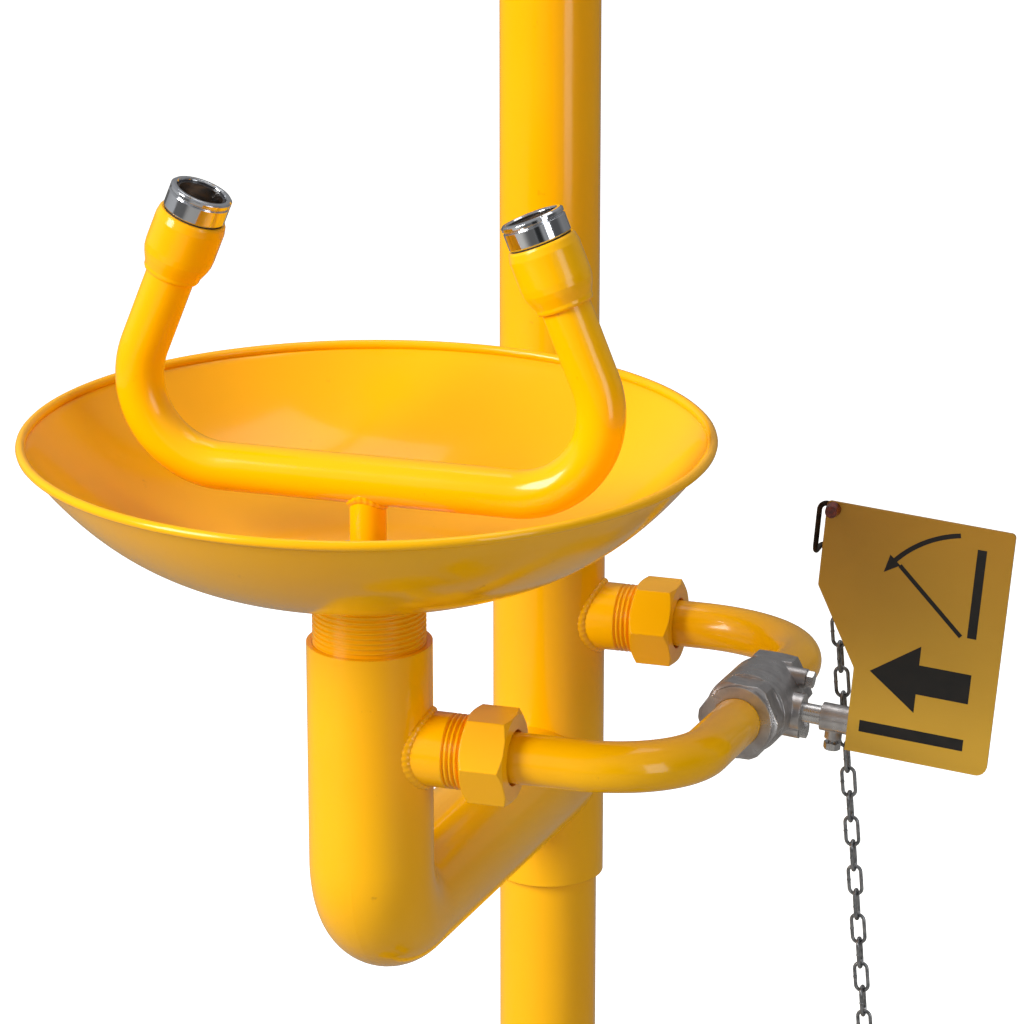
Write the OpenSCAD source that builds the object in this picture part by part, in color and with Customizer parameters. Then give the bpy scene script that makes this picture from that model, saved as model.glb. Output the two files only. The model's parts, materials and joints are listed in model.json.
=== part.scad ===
// Combination emergency safety shower with a hand and foot operated eyewash.
// Millimetres. The floor is z = 0, the standpipe stands on the Z axis, the eyewash
// bowl is on the -Y side and the supply loop with its push plate is on the +X side.

/* [Overall] */
// Height of the bowl rim above the floor
rim_height = 1000; // [900:10:1050]
// Distance from the standpipe axis to the bowl axis
bowl_reach = 265; // [240:5:320]
// Height of the shower arm above the floor
arm_height = 2240; // [2050:10:2300]
// Distance from the standpipe axis to the shower head axis
head_reach = 560; // [480:10:650]

/* [Pipes] */
// Outside diameter of the upper and lower standpipe
pipe_d = 48.3; // [42:0.1:60.3]
// Wall of the standpipe
pipe_wall = 3.2; // [2.5:0.1:4]
// Wall of the sleeve that joins the two standpipes
sleeve_wall = 3.3; // [2.5:0.1:5]
// Length of the joining sleeve
sleeve_l = 208; // [200:2:230]
// Outside diameter of the drain leg
leg_d = 55.2; // [53:0.1:60]
// Wall of the drain leg
leg_wall = 2.6; // [2:0.1:2.6]
// Centreline radius of the bend in the drain leg
leg_bend_r = 34; // [30:1:60]
// Fall of the drain pipe towards the standpipe, degrees
drain_fall = 5; // [0:0.5:8]
// Outside diameter of the two supply pipes
supply_d = 22.5; // [20:0.5:24]
// Outside diameter of the riser inside the drain leg
riser_d = 16; // [14:0.5:20]
// Outside diameter of the nozzle yoke
yoke_d = 21.3; // [18:0.1:24]
// Wall of the small pipes
small_wall = 2.2; // [1.5:0.1:3]
// Outside diameter of the shower arm
arm_d = 33.7; // [30:0.1:42.4]

/* [Bowl] */
// Diameter of the bowl over its rolled rim
bowl_d = 300; // [260:5:340]
// Depth of the bowl shell below its rim
bowl_depth = 62.5; // [50:0.5:75]
// Thickness of the bowl shell
bowl_t = 1.6; // [1:0.1:3]
// Diameter of the rolled rim bead
bead_d = 4.4; // [3.6:0.2:7]
// Outside diameter of the threaded drain collar
collar_d = 49.8; // [48:0.1:49.9]

/* [Yoke and nozzles] */
// Height of the yoke centreline below the bowl rim
yoke_drop = 21; // [14:1:24]
// Half the span between the corners of the yoke
yoke_half = 122.6; // [110:1:130]
// Length of each yoke arm from its corner to the nozzle cup
yoke_arm_l = 91; // [85:1:110]
// Inward lean of the yoke arms, degrees
yoke_lean = 22; // [10:1:25]
// Centreline radius of the yoke bends
yoke_bend_r = 38; // [30:1:44]
// Outside diameter of a nozzle cup
cup_d = 31; // [29:0.5:34]
// Length of a nozzle cup
cup_l = 29; // [26:1:34]
// Outside diameter of the plated nozzle ring
ring_d = 27.5; // [26.5:0.1:28]

/* [Supply loop] */
// Height of the front branch below the bowl rim
front_drop = 141; // [136:1:150]
// Height of the rear branch below the bowl rim
rear_drop = 167.5; // [160:0.5:174]
// Distance of the supply loop from the standpipe plane
loop_x = 140; // [136:1:160]
// Bend radius of the front supply pipe
front_bend_r = 46; // [40:1:52]
// Bend radius of the rear supply pipe
rear_bend_r = 62; // [45:1:66]
// Diameter of the union thread
union_d = 33.2; // [32:0.1:34]
// Width across the flats of a union nut
nut_af = 38; // [37:0.5:42]
// Length of a union nut
nut_l = 20; // [17:0.5:22]

/* [Eyewash valve and push plate] */
// Distance of the valve centre in front of the standpipe axis
valve_reach = 132; // [126:1:138]
// Downward roll of the valve spindle, degrees
valve_roll = 5; // [0:1:10]
// Width of the push plate
plate_w = 86; // [80:1:100]
// Height of the push plate
plate_h = 116; // [105:1:130]
// Thickness of the push plate
plate_t = 1.5; // [1:0.1:3]

/* [Foot treadle and chain] */
// Wire diameter of a chain link
wire_d = 1.7; // [1.4:0.1:2]
// Length of a chain link between its wire centres
link_l = 14.1; // [13:0.1:16]
// Width of a chain link between its wire centres
link_w = 5.9; // [5.5:0.1:7]
// Distance of the chain's foot from the standpipe plane
chain_foot_x = 234; // [226:1:244]
// Rest height of the chain's foot
chain_foot_z = 130; // [120:1:140]
// Distance from the treadle hinge to the chain
treadle_arm = 190; // [180:1:210]
// Height of the treadle hinge above the floor
hinge_z = 60; // [56:1:70]
// Width of the treadle plate
treadle_w = 80; // [70:1:90]

/* [Shower head and pull rod] */
// Diameter of the shower head
head_d = 250; // [220:5:280]
// Height of the shower head shell
head_h = 62; // [50:1:80]
// Distance from the standpipe axis to the shower valve
shower_valve_reach = 150; // [140:5:200]
// Length of the shower valve lever
lever_l = 170; // [150:5:200]
// Rest angle of the shower lever above the horizontal, degrees
lever_rest = 30; // [20:1:40]
// Length of the pull rod between its eye and the handle
rod_l = 610; // [560:10:680]
// Width of the triangular pull handle
handle_w = 120; // [100:5:150]

/* [Base] */
// Diameter of the floor flange
flange_d = 210; // [190:5:250]
// Thickness of the floor flange
flange_t = 12; // [8:1:16]
// Pitch circle diameter of the anchor holes
anchor_pcd = 160; // [140:5:190]
// Diameter of an anchor hole
anchor_hole_d = 14; // [11:1:18]
// Number of anchor holes
anchor_count = 4; // [3:1:6]

/* [Hidden] */
$fn = 48;

// Colours
COAT = [1.0, 0.76, 0.0];
STEEL = [0.68, 0.68, 0.70];
CHROME = [0.85, 0.86, 0.88];
DARK = [0.12, 0.12, 0.13];
RUBBER = [0.09, 0.09, 0.09];
PTFE = [0.95, 0.95, 0.93];
SHEET = [0.80, 0.60, 0.18];
KNOB = [0.42, 0.12, 0.06];

// Clearances
fit = 0.05;          // radial, between pieces that slide or screw together
eps = 0.01;          // overshoot of a cut
$bend_fn = 96;
weld_gap = 0.005;
spigot_l = 2;
spigot_skin = 0.35;

// Standpipe
sleeve_bore = pipe_d + 2 * fit;
sleeve_d = sleeve_bore + 2 * sleeve_wall;
sleeve_low = rim_height - 304;
socket_l = 30;                        // depth of the lower pipe in the sleeve
upper_low = rim_height - 146;         // lower end of the upper pipe, inside the sleeve
front_z = rim_height - front_drop;
rear_z = rim_height - rear_drop;
plug_t = 18;
plug_z = rim_height - 213;            // underside of the partition plug
pipe_seat = 8;                        // floor thickness under the lower pipe
hub_d = pipe_d + 18;
hub_h = 34;
waste_z = 150;
inlet_z = rim_height + 700;
port_d = 42.4;                        // outside of the waste and inlet sockets
port_bore = 26;
port_mouth_d = 30.3;                  // female thread of a socket
port_mouth_l = 20;
port_l = 34;

// Bowl and drain
leg_bore = leg_d - 2 * leg_wall;
leg_top = rim_height - 94;
leg_corner_z = rim_height - 226.5;
drain_end_z = leg_corner_z - bowl_reach * tan(drain_fall);
drain_port_d = 44;
bowl_hole_d = 44;
bowl_bottom = rim_height - bowl_depth;     // outside of the shell at its centre
bowl_n = 3.4;                              // exponent of the shell's curve
shell_r = bowl_d / 2 - bead_d / 2;
gasket_t = 1.5;
collar_low = leg_top - 20;
collar_top = bowl_bottom - gasket_t;
drain_tube_d = 42;
drain_bore = 36;
drain_lip_d = 66;
drain_lip_t = 2;

// Unions, along X from the axis of the pipe that carries them
boss_l = 57;
boss_plain = 37.5;
thread_p = 2.309;
thread_h = 1.1;
gasket_l = 2;
tail_flange_l = 2.5;
nut_web = 5;
nut_end = boss_l + gasket_l + tail_flange_l + nut_web;
nut_start = nut_end - nut_l;
nut_hole_d = supply_d + 2.4;
tail_d = union_d - 2.4;
boss_bore = 17.6;

// Supply loop
supply_bore = supply_d - 2 * small_wall;
loop_front = [loop_x, -bowl_reach, front_z];
loop_rear = [loop_x, 0, rear_z];
flow = unit(loop_rear - loop_front);
valve_c = loop_rear - flow * (valve_reach / abs(flow[1]));
spindle_raw = [cos(valve_roll), 0, -sin(valve_roll)];
spindle = unit(spindle_raw - (spindle_raw * flow) * flow);
lever_up = unit([0, 0, 1] - ([0, 0, 1] * spindle) * spindle);

// Eyewash valve, along its own Y (flow) and X (spindle)
valve_front = -38;
valve_back = 34;
valve_joint = -11;         // face between body and end cap
valve_d = 37;
socket_depth = 13;
ball_d = 27;
port_in_d = 16;
stem_d = 9;
stem_top = 52;
gland_x = 22;              // outer face of the stem boss
hub_x0 = 31;
hub_x1 = 45;
lever_hub_d = 13;
nut_h = 5.5;
nut_small_af = 13;

// Push plate, in the lever frame
plate_x0 = 24.5;
plate_x1 = plate_x0 + plate_w;
plate_z1 = 106;
plate_z0 = plate_z1 - plate_h;
plate_y = -9;                     // back face of the plate
step_z1 = 66;                     // where the left edge starts to slope
step_z0 = 30;
flange_x = hub_x1;                // inner face of the bent flange
hook_y = 10;
hook_wire = 2.4;
hook_x = 25;
hook_hole = [plate_x0 + 3.2, plate_z1 - 3.5];
hook_z = hook_hole[1] - 24;
hook_bend_r = 3.5;

// Chain
function lever_point(p) = valve_c + p[0] * spindle + p[1] * cross(lever_up, spindle) + p[2] * lever_up;
link_gap = 0.15;
chain_top = lever_point([hook_x, hook_y, hook_z]);
chain_foot_y = -98;
chain_foot = [chain_foot_x, chain_foot_y, chain_foot_z];
chain_dir = unit(chain_foot - chain_top);
chain_side = unit([1, 0, 0] - ([1, 0, 0] * chain_dir) * chain_dir);
link_pitch = link_l - wire_d - link_gap;
end_wire_d = 2.6;
end_link_l = 42;                  // shortest end link between its wire centres
end_slack = 25;                   // how far the end link hangs below the treadle bar
chain_run = norm(chain_foot - chain_top);
first_link = hook_wire / 2 + wire_d / 2 + 0.2;     // first top wire above the hook axis
link_count = 2 * floor((chain_run + end_slack - end_link_l) / link_pitch / 2) - 1;
end_top = first_link - (link_count - 1) * link_pitch - link_l + (wire_d + end_wire_d) / 2 + link_gap;

// Treadle
bar_d = 8;
hinge_y = chain_foot_y + sqrt(pow(treadle_arm, 2) - pow(chain_foot_z - hinge_z, 2));
treadle_rest = asin((chain_foot_z - hinge_z) / treadle_arm);
bar_shift = hook_z * lever_up[0] / 2;              // half of the chain's drift towards the post
bar_x = chain_foot_x - bar_shift;
end_link_w = 2 * (bar_shift + bar_d / 2 + 1.5) + end_wire_d;
treadle_x1 = chain_foot_x - 2 * bar_shift - (end_link_w + end_wire_d) / 2 - 2;
treadle_x0 = treadle_x1 - treadle_w;
treadle_t = 3;
treadle_under = 5.6;              // underside of the plate above the hinge axis
skirt_low = -7;
barrel_inset = 12;
barrel_x0 = treadle_x0 + barrel_inset;
barrel_x1 = treadle_x1 - barrel_inset;
barrel_d = 18;
pin_d = 10;
barrel_gap = 0.4;
lug_t = 8;
bar_start = treadle_arm - 42;
bar_end = treadle_arm + 40;
treadle_tip = treadle_arm + 44;
plate_start = 24;                 // from the hinge axis to the full width plate
bracket_t = 8;
lug_d = 22;
clamp_h = 36;
clamp_wall = 6;
clamp_bolt_d = 8;

// Shower
arm_wall = 3.2;
arm_bore = arm_d - 2 * arm_wall;
elbow_socket_d = pipe_d + 9;
arm_socket_d = arm_d + 9;
elbow_overlap = 0.4;              // wall of the elbow that the arm socket joins
elbow_bore = arm_socket_d - 2 * elbow_overlap;
elbow_r = 50;
elbow_end = 92;                   // face of the elbow's arm socket
pipe_top = arm_height - elbow_r - 6;
sv_front = -44;
sv_back = 40;
sv_joint = -14;
sv_d = 56;
sv_socket = 16;
sv_ball_d = 38;
sv_port = 25;
sv_stem_d = 12;
sv_gland_x = 36;
sv_stem_top = 58;
lever_x0 = 44;
lever_t = 6;
head_top = arm_height - 78;
head_base = head_top - head_h;
arm_bend_r = 50;
rose_t = 2;
rose_z = 2;                       // underside of the rose above the skirt's edge
rose_screw_d = 5;
rose_screw_r = head_d / 2 - 14;
shell_t = 2.5;
skirt_h = 10;
neck_r = arm_socket_d / 2;
neck_z = head_h - 16;             // top of the shell's curve
shower_c = [0, -shower_valve_reach, arm_height];
lever_end = shower_c + [lever_x0 + lever_t / 2, -lever_l * cos(lever_rest), lever_l * sin(lever_rest)];
rod_d = 8;

// ---------- vector helpers ----------

function unit(v) = v / norm(v);
function turn(a, b, c) = acos(unit(b - a) * unit(c - b));
function setback(a, b, c, r) = r * tan(turn(a, b, c) / 2);
function square_to(axis) = abs(axis[0]) > 0.9 ? [0, 0, 1] : [1, 0, 0];
function flat(v, axis) = unit(v - (v * axis) * axis);

// Puts its children in a frame with the given origin, X axis and Z axis
module in_frame(origin, x_axis, z_axis) {
    y_axis = cross(z_axis, x_axis);
    multmatrix([
        [x_axis[0], y_axis[0], z_axis[0], origin[0]],
        [x_axis[1], y_axis[1], z_axis[1], origin[1]],
        [x_axis[2], y_axis[2], z_axis[2], origin[2]],
        [0, 0, 0, 1]
    ]) children();
}

// Valve frame: X along the spindle, Y along the flow
module in_valve() in_frame(valve_c, spindle, cross(spindle, flow)) children();

// Lever frame: X along the spindle, Z up
module in_lever() in_frame(valve_c, spindle, lever_up) children();

// Chain frame: Z against the pull, X sideways
module in_chain() in_frame(chain_top, chain_side, -chain_dir) children();

// Treadle frame: X sideways, Z square to the plate, -Y along the treadle
module in_treadle() translate([0, hinge_y, hinge_z]) rotate([-treadle_rest, 0, 0]) children();

module ring(d_out, d_in, h) {
    difference() {
        cylinder(d = d_out, h = h);
        translate([0, 0, -1]) cylinder(d = d_in, h = h + 2);
    }
}

// Round bar or tube along +Z
module tube(d, bore, l) {
    if (bore > 0) ring(d, bore, l);
    else cylinder(d = d, h = l);
}

// Straight round bar or tube from a to b
module straight(a, b, d, bore) {
    axis = unit(b - a);
    in_frame(a, flat(square_to(axis), axis), axis) tube(d, bore, norm(b - a));
}

// Bend that leaves +Z for +X through an angle, from the origin
module bend(angle, r, d, bore) multmatrix([[-1, 0, 0, r], [0, 0, 1, 0], [0, 1, 0, 0], [0, 0, 0, 1]])
    rotate_extrude(angle = angle, $fn = $bend_fn)
        translate([r, 0])
            difference() {
                circle(d = d);
                if (bore > 0) circle(d = bore);
            }

// Next leg after a bend. Where the bend isn't square, a spigot inside the wall carries the leg
module next_leg(angle, d, bore, l) {
    square = abs(angle - 90) < 0.001;
    gap = square ? 0 : weld_gap;
    translate([0, 0, gap]) tube(d, bore, l - gap);
    if (!square)

                        translate([0, 0, -spigot_l])
                            tube(d - 2 * spigot_skin, bore > 0 ? bore + 2 * spigot_skin : 0, 2 * spigot_l);
}

// Runs straight along +Z and then on through the corners that are left; x_axis is where
// +X points in the model, so that each bend can be rolled towards its next leg
module run(points, r, d, bore, x_axis, begin, last_angle) {
    more = len(points) > 2;
    z_axis = unit(points[1] - points[0]);
    back = more ? setback(points[0], points[1], points[2], r) : 0;
    l = norm(points[1] - points[0]) - begin - back;
    next_leg(last_angle, d, bore, l);
    if (more) {
        inward = flat(points[2] - points[1], z_axis);
        roll = atan2(cross(x_axis, inward) * z_axis, x_axis * inward);
        angle = turn(points[0], points[1], points[2]);
        rest = [for (i = [1:len(points) - 1]) points[i]];
        translate([0, 0, l]) rotate([0, 0, roll]) {
            bend(angle, r, d, bore);
            translate([r, 0, 0]) rotate([0, angle, 0]) translate([-r, 0, 0])
                run(rest, r, d, bore, inward * cos(angle) - z_axis * sin(angle), back, angle);
        }
    }
}

// Round bar or tube through a list of points, bent at each inner one
module bent(points, r, d, bore = 0) {
    z_axis = unit(points[1] - points[0]);
    x_axis = flat(points[2] - points[1], z_axis);
    in_frame(points[0], x_axis, z_axis) run(points, r, d, bore, x_axis, 0, 90);
}

// Hexagon nut or head along +Z with its two ends chamfered
module hexagon(af, h) {
    corner = af / cos(30);
    slope = (corner - af) / 2 * tan(30);
    intersection() {
        cylinder(d = corner, h = h, $fn = 6);
        rotate_extrude()
            polygon([[0, 0], [af / 2, 0], [corner / 2 + eps, slope + eps],
                     [corner / 2 + eps, h - slope - eps], [af / 2, h], [0, h]]);
    }
}

module along_x() rotate([0, 90, 0]) children();
module along_flow() rotate([-90, 0, 0]) children();

// ---------- standpipe ----------

module floor_flange() color(COAT) difference() {
    union() {
        cylinder(d = flange_d, h = flange_t, $fn = 96);
        cylinder(d = hub_d, h = hub_h);
    }
    translate([0, 0, pipe_seat]) cylinder(d = pipe_d + 2 * fit, h = hub_h);
    for (i = [0:anchor_count - 1])
        rotate([0, 0, 45 + i * 360 / anchor_count])
            translate([anchor_pcd / 2, 0, -1]) cylinder(d = anchor_hole_d, h = flange_t + 2);
}

module lower_pipe() color(COAT) difference() {
    translate([0, 0, pipe_seat])
        ring(pipe_d, pipe_d - 2 * pipe_wall, sleeve_low + socket_l - pipe_seat);
    translate([0, 0, waste_z]) along_flow() cylinder(d = port_bore, h = pipe_d);
}

// Female socket saddled on the back of a pipe
module saddle_socket(z) difference() {
    translate([0, 0, z]) along_flow() ring(port_d, port_bore, pipe_d / 2 + port_l);
    translate([0, pipe_d / 2 + port_l - port_mouth_l, z]) along_flow()
        cylinder(d = port_mouth_d, h = port_mouth_l + 1);
    translate([0, 0, z - port_d]) cylinder(d = pipe_d, h = 2 * port_d);
}

module waste_outlet() color(COAT) saddle_socket(waste_z);

// Union thread: a plain neck and then crests, along +Z from the pipe's axis
module threaded_neck() {
    teeth = floor((boss_l - boss_plain) / thread_p);
    root = union_d / 2 - thread_h;
    rotate_extrude()
        polygon(concat(
            [[0, 0], [union_d / 2, 0], [union_d / 2, boss_plain]],
            [for (i = [0:teeth - 1]) each [
                [root, boss_plain + (i + 0.25) * thread_p],
                [root, boss_plain + (i + 0.4) * thread_p],
                [union_d / 2, boss_plain + (i + 0.65) * thread_p],
                [union_d / 2, boss_plain + (i + 0.95) * thread_p]]],
            [[root, boss_l], [0, boss_l]]));
}

module sleeve() color(COAT) difference() {
    union() {
        translate([0, 0, sleeve_low]) cylinder(d = sleeve_d, h = sleeve_l);
        translate([0, 0, rear_z]) along_x() threaded_neck();
    }
    translate([0, 0, sleeve_low - 1]) cylinder(d = sleeve_bore, h = sleeve_l + 2);
    translate([0, 0, rear_z]) along_x() cylinder(d = boss_bore, h = boss_l + 1);
    translate([0, 0, drain_end_z]) rotate([90 - drain_fall, 0, 0])
        cylinder(d = drain_port_d, h = sleeve_d);
}

module partition_plug() color(STEEL)
    translate([0, 0, plug_z]) cylinder(d = pipe_d, h = plug_t);

module upper_pipe() color(COAT) difference() {
    translate([0, 0, upper_low]) ring(pipe_d, pipe_d - 2 * pipe_wall, pipe_top - upper_low);
    translate([0, 0, inlet_z]) along_flow() cylinder(d = port_bore, h = pipe_d);
}

module supply_inlet() color(COAT) saddle_socket(inlet_z);

// ---------- shower ----------

// Elbow with a socket for the standpipe below and one for the arm in front
module top_elbow() color(COAT) {
    mid = [0, 0, arm_height];
    lip = 26;
    bent([[0, 0, pipe_top], mid, [0, -elbow_end + lip, arm_height]],
         elbow_r - 6, elbow_socket_d - 2, elbow_bore);
    difference() {
        translate([0, 0, pipe_top - lip]) cylinder(d = elbow_socket_d, h = lip);
        translate([0, 0, pipe_top - lip - 1]) cylinder(d = pipe_d + 2 * fit, h = lip + 2);
    }
    translate([0, -elbow_end, arm_height]) along_flow() difference() {
        cylinder(d = arm_socket_d, h = lip);
        translate([0, 0, -1]) cylinder(d = arm_d + 2 * fit, h = 19);
        cylinder(d = arm_bore, h = lip + 1);
    }
}

module arm_nipple() color(COAT)
    straight([0, -elbow_end + 18, arm_height],
             [0, -shower_valve_reach + sv_back - sv_socket, arm_height], arm_d, arm_bore);

// Outline of one end of a ball valve: a hexagonal end and a round shoulder
module valve_end(af, hex_l, round_d, round_l) {
    hexagon(af, hex_l);
    translate([0, 0, hex_l]) cylinder(d = round_d, h = round_l);
}

module shower_valve_body() color(STEEL) translate(shower_c) difference() {
    union() {
        translate([0, sv_back, 0]) rotate([90, 0, 0]) valve_end(44, 18, sv_d, sv_back - 18 - sv_joint);
        along_x() cylinder(d = 26, h = sv_gland_x);
    }
    translate([0, sv_joint - 1, 0]) along_flow()
        cylinder(d = sv_ball_d + 4, h = sv_ball_d / 2 + 3 - sv_joint);
    translate([0, sv_joint, 0]) along_flow() cylinder(d = sv_port, h = sv_back - sv_joint + 1);
    translate([0, sv_back - sv_socket, 0]) along_flow() cylinder(d = arm_d + 2 * fit, h = sv_socket + 1);
    along_x() cylinder(d = sv_stem_d + 2 * fit, h = sv_gland_x + 1);
}

module shower_valve_cap() color(STEEL) translate(shower_c) difference() {
    translate([0, sv_front, 0]) along_flow() valve_end(44, 18, sv_d - 6, sv_joint - sv_front - 18);
    translate([0, sv_front - 1, 0]) along_flow() cylinder(d = sv_port, h = sv_joint - sv_front + 2);
    translate([0, sv_front - 1, 0]) along_flow() cylinder(d = arm_d + 2 * fit, h = sv_socket + 1);
    sphere(d = sv_ball_d + 0.6);
}

module shower_arm() color(COAT)
    bent([[0, -shower_valve_reach + sv_front + sv_socket, arm_height],
          [0, -head_reach, arm_height],
          [0, -head_reach, head_top - 12]], arm_bend_r, arm_d, arm_bore);

// Curve from the neck to the skirt, as radius and height
function dome(r_end, drop) =
    [for (i = [0:16]) let (u = i / 16)
        [neck_r + (r_end - neck_r) * u, skirt_h + (neck_z - skirt_h) * (1 - pow(u, 2.6)) - drop]];

module shower_shell() color(COAT) translate([0, -head_reach, head_base]) {
    inner = dome(head_d / 2 - shell_t, shell_t);
    rotate_extrude($fn = 96) polygon(concat(
        [[arm_bore / 2, neck_z - shell_t], [arm_bore / 2, head_h - 12], [arm_d / 2 + fit, head_h - 12],
         [arm_d / 2 + fit, head_h], [neck_r, head_h]],
        dome(head_d / 2, 0),
        [[head_d / 2, 0], [head_d / 2 - shell_t, 0]],
        [for (i = [16:-1:0]) inner[i]]));
    for (i = [0:3]) rotate([0, 0, 45 + 90 * i]) translate([rose_screw_r, 0, 0]) difference() {
        translate([0, 0, rose_z + rose_t]) cylinder(d = 11, h = 15);
        translate([0, 0, rose_z]) cylinder(d = rose_screw_d + 2 * fit, h = 10);
    }
}

module shower_rose() color(STEEL) translate([0, -head_reach, head_base + rose_z]) difference() {
    cylinder(d = head_d - 2 * shell_t - 2 * fit, h = rose_t, $fn = 96);
    for (k = [1:5])
        for (i = [0:6 * k - 1])
            rotate([0, 0, i * 60 / k]) translate([k * 19, 0, -1]) cylinder(d = 3.5, h = rose_t + 2, $fn = 16);
    for (i = [0:3])
        rotate([0, 0, 45 + 90 * i]) translate([rose_screw_r, 0, -1])
            cylinder(d = rose_screw_d + 2 * fit, h = rose_t + 2);
}

module rose_screws() color(STEEL) translate([0, -head_reach, head_base + rose_z])
    for (i = [0:3]) rotate([0, 0, 45 + 90 * i]) translate([rose_screw_r, 0, 0]) {
        translate([0, 0, -1.4]) cylinder(d = 9, h = 1.4);
        cylinder(d = rose_screw_d, h = 9);
    }

// ---------- drain leg, bowl and riser ----------

module at_bowl(z = 0) translate([0, -bowl_reach, z]) children();

module drain_leg() color(COAT) difference() {
    union() {
        bent([[0, -bowl_reach, leg_top], [0, -bowl_reach, leg_corner_z],
              [0, -3, drain_end_z + 3 * tan(drain_fall)]], leg_bend_r, leg_d, leg_bore);
        difference() {
            at_bowl(front_z) along_x() threaded_neck();
            at_bowl(leg_corner_z) cylinder(d = leg_bore + eps, h = leg_top - leg_corner_z);
        }
    }
    at_bowl(front_z) along_x() cylinder(d = riser_d + 2 * fit, h = boss_l - 20);
    at_bowl(front_z) along_x() cylinder(d = riser_d - 2 * small_wall, h = boss_l + 1);
    translate([0, 0, sleeve_low]) cylinder(d = sleeve_d, h = sleeve_l);
}

// Height of the shell's outer face at a radius
function shell_z(r) = bowl_bottom + (bowl_depth - bead_d / 2 - bowl_t / 2) * pow(r / shell_r, bowl_n);

module bowl() color(COAT) at_bowl() rotate_extrude($fn = 128) {
    steps = 26;
    r0 = bowl_hole_d / 2;
    radii = [for (i = [0:steps]) r0 + (shell_r - r0) * i / steps];
    polygon(concat(
        [for (r = radii) [r, shell_z(r)]],
        [for (i = [steps:-1:0]) [radii[i], shell_z(radii[i]) + bowl_t]]));
    translate([shell_r, rim_height - bead_d / 2]) circle(d = bead_d);
}

module bowl_gasket() color(RUBBER)
    at_bowl(collar_top) ring(collar_d - 1, drain_tube_d + 2 * fit, gasket_t);

// Flanged tube that carries the collar and lets the bowl empty into the leg
module bowl_drain() color(CHROME) {
    lip_z = shell_z(drain_lip_d / 2) + bowl_t;
    at_bowl() rotate_extrude() polygon([
        [drain_bore / 2, collar_low - 5], [drain_tube_d / 2, collar_low - 5],
        [drain_tube_d / 2, lip_z], [drain_lip_d / 2, lip_z], [drain_lip_d / 2 - 1, lip_z + drain_lip_t],
        [drain_bore / 2 + 5, lip_z + drain_lip_t], [drain_bore / 2, lip_z]]);
}

module drain_collar() color(COAT) {
    r = collar_d / 2;
    flare_h = 6;
    crests = floor((collar_top - flare_h - collar_low) / thread_p);
    at_bowl() rotate_extrude() polygon(concat(
        [[drain_tube_d / 2 + fit, collar_low], [r - thread_h, collar_low]],
        [for (i = [0:crests - 1]) each [
            [r - thread_h, collar_low + (i + 0.2) * thread_p],
            [r, collar_low + (i + 0.4) * thread_p],
            [r, collar_low + (i + 0.7) * thread_p],
            [r - thread_h, collar_low + (i + 0.9) * thread_p]]],
        [[r + 0.4, collar_top - flare_h], [r + 0.6, collar_top - 3], [r + 1.4, collar_top - 1.2],
         [r + 2.8, collar_top], [drain_tube_d / 2 + fit, collar_top]]));
}

module drain_strainer() color(STEEL) {
    lip_z = shell_z(drain_lip_d / 2) + bowl_t + drain_lip_t;
    at_bowl(lip_z) difference() {
        cylinder(d = drain_lip_d - 10, h = 1.6);
        translate([0, 0, -1]) cylinder(d = riser_d + 2 * fit, h = 4);
        for (k = [0:1])
            for (i = [0:11])
                rotate([0, 0, 30 * i + 15 * k])
                    translate([riser_d / 2 + 4 + 6 * k, 0, -1]) cylinder(d = 3.6, h = 4, $fn = 24);
    }
}

yoke_z = rim_height - yoke_drop;

module riser_pipe() color(COAT)
    bent([[boss_l - 20, -bowl_reach, front_z], [0, -bowl_reach, front_z],
          [0, -bowl_reach, yoke_z - 6.8]], 20, riser_d, riser_d - 2 * small_wall);

cup_socket = 10;
arm_dx = (yoke_arm_l + cup_socket) * sin(yoke_lean);
arm_dz = (yoke_arm_l + cup_socket) * cos(yoke_lean);

module yoke_pipe() color(COAT) difference() {
    bent([[-yoke_half + arm_dx, -bowl_reach, yoke_z + arm_dz], [-yoke_half, -bowl_reach, yoke_z],
          [yoke_half, -bowl_reach, yoke_z], [yoke_half - arm_dx, -bowl_reach, yoke_z + arm_dz]],
         yoke_bend_r, yoke_d, yoke_d - 2 * small_wall);
    at_bowl(yoke_z - yoke_d) cylinder(d = riser_d + 2 * fit, h = yoke_d);
}

// Frame at the end of a yoke arm, +Z out of the nozzle; side is -1 or 1
module in_arm(side)
    translate([side * (yoke_half - yoke_arm_l * sin(yoke_lean)), -bowl_reach,
               yoke_z + yoke_arm_l * cos(yoke_lean)])
        rotate([0, -side * yoke_lean, 0]) children();

ring_thread_d = ring_d - 1.5;
ring_l = 11;
seal_t = 0.6;
ring_in = ring_d - 5.5;

module cup() rotate_extrude() {
    r = cup_d / 2;
    base_r = yoke_d / 2 + 1.4;
    polygon([[yoke_d / 2 + fit, 0], [base_r, 0], [base_r + 0.5, 1], [base_r + 0.6, 2.4],
             [r - 1.1, 6.5], [r - 0.3, 9], [r, 12], [r, cup_l - 4], [r - 0.6, cup_l - 1], [r - 1.2, cup_l],
             [ring_thread_d / 2 + fit, cup_l], [ring_thread_d / 2 + fit, cup_l - 9],
             [yoke_d / 2 - small_wall, cup_l - 9], [yoke_d / 2 - small_wall, cup_socket],
             [yoke_d / 2 + fit, cup_socket]]);
}

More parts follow.
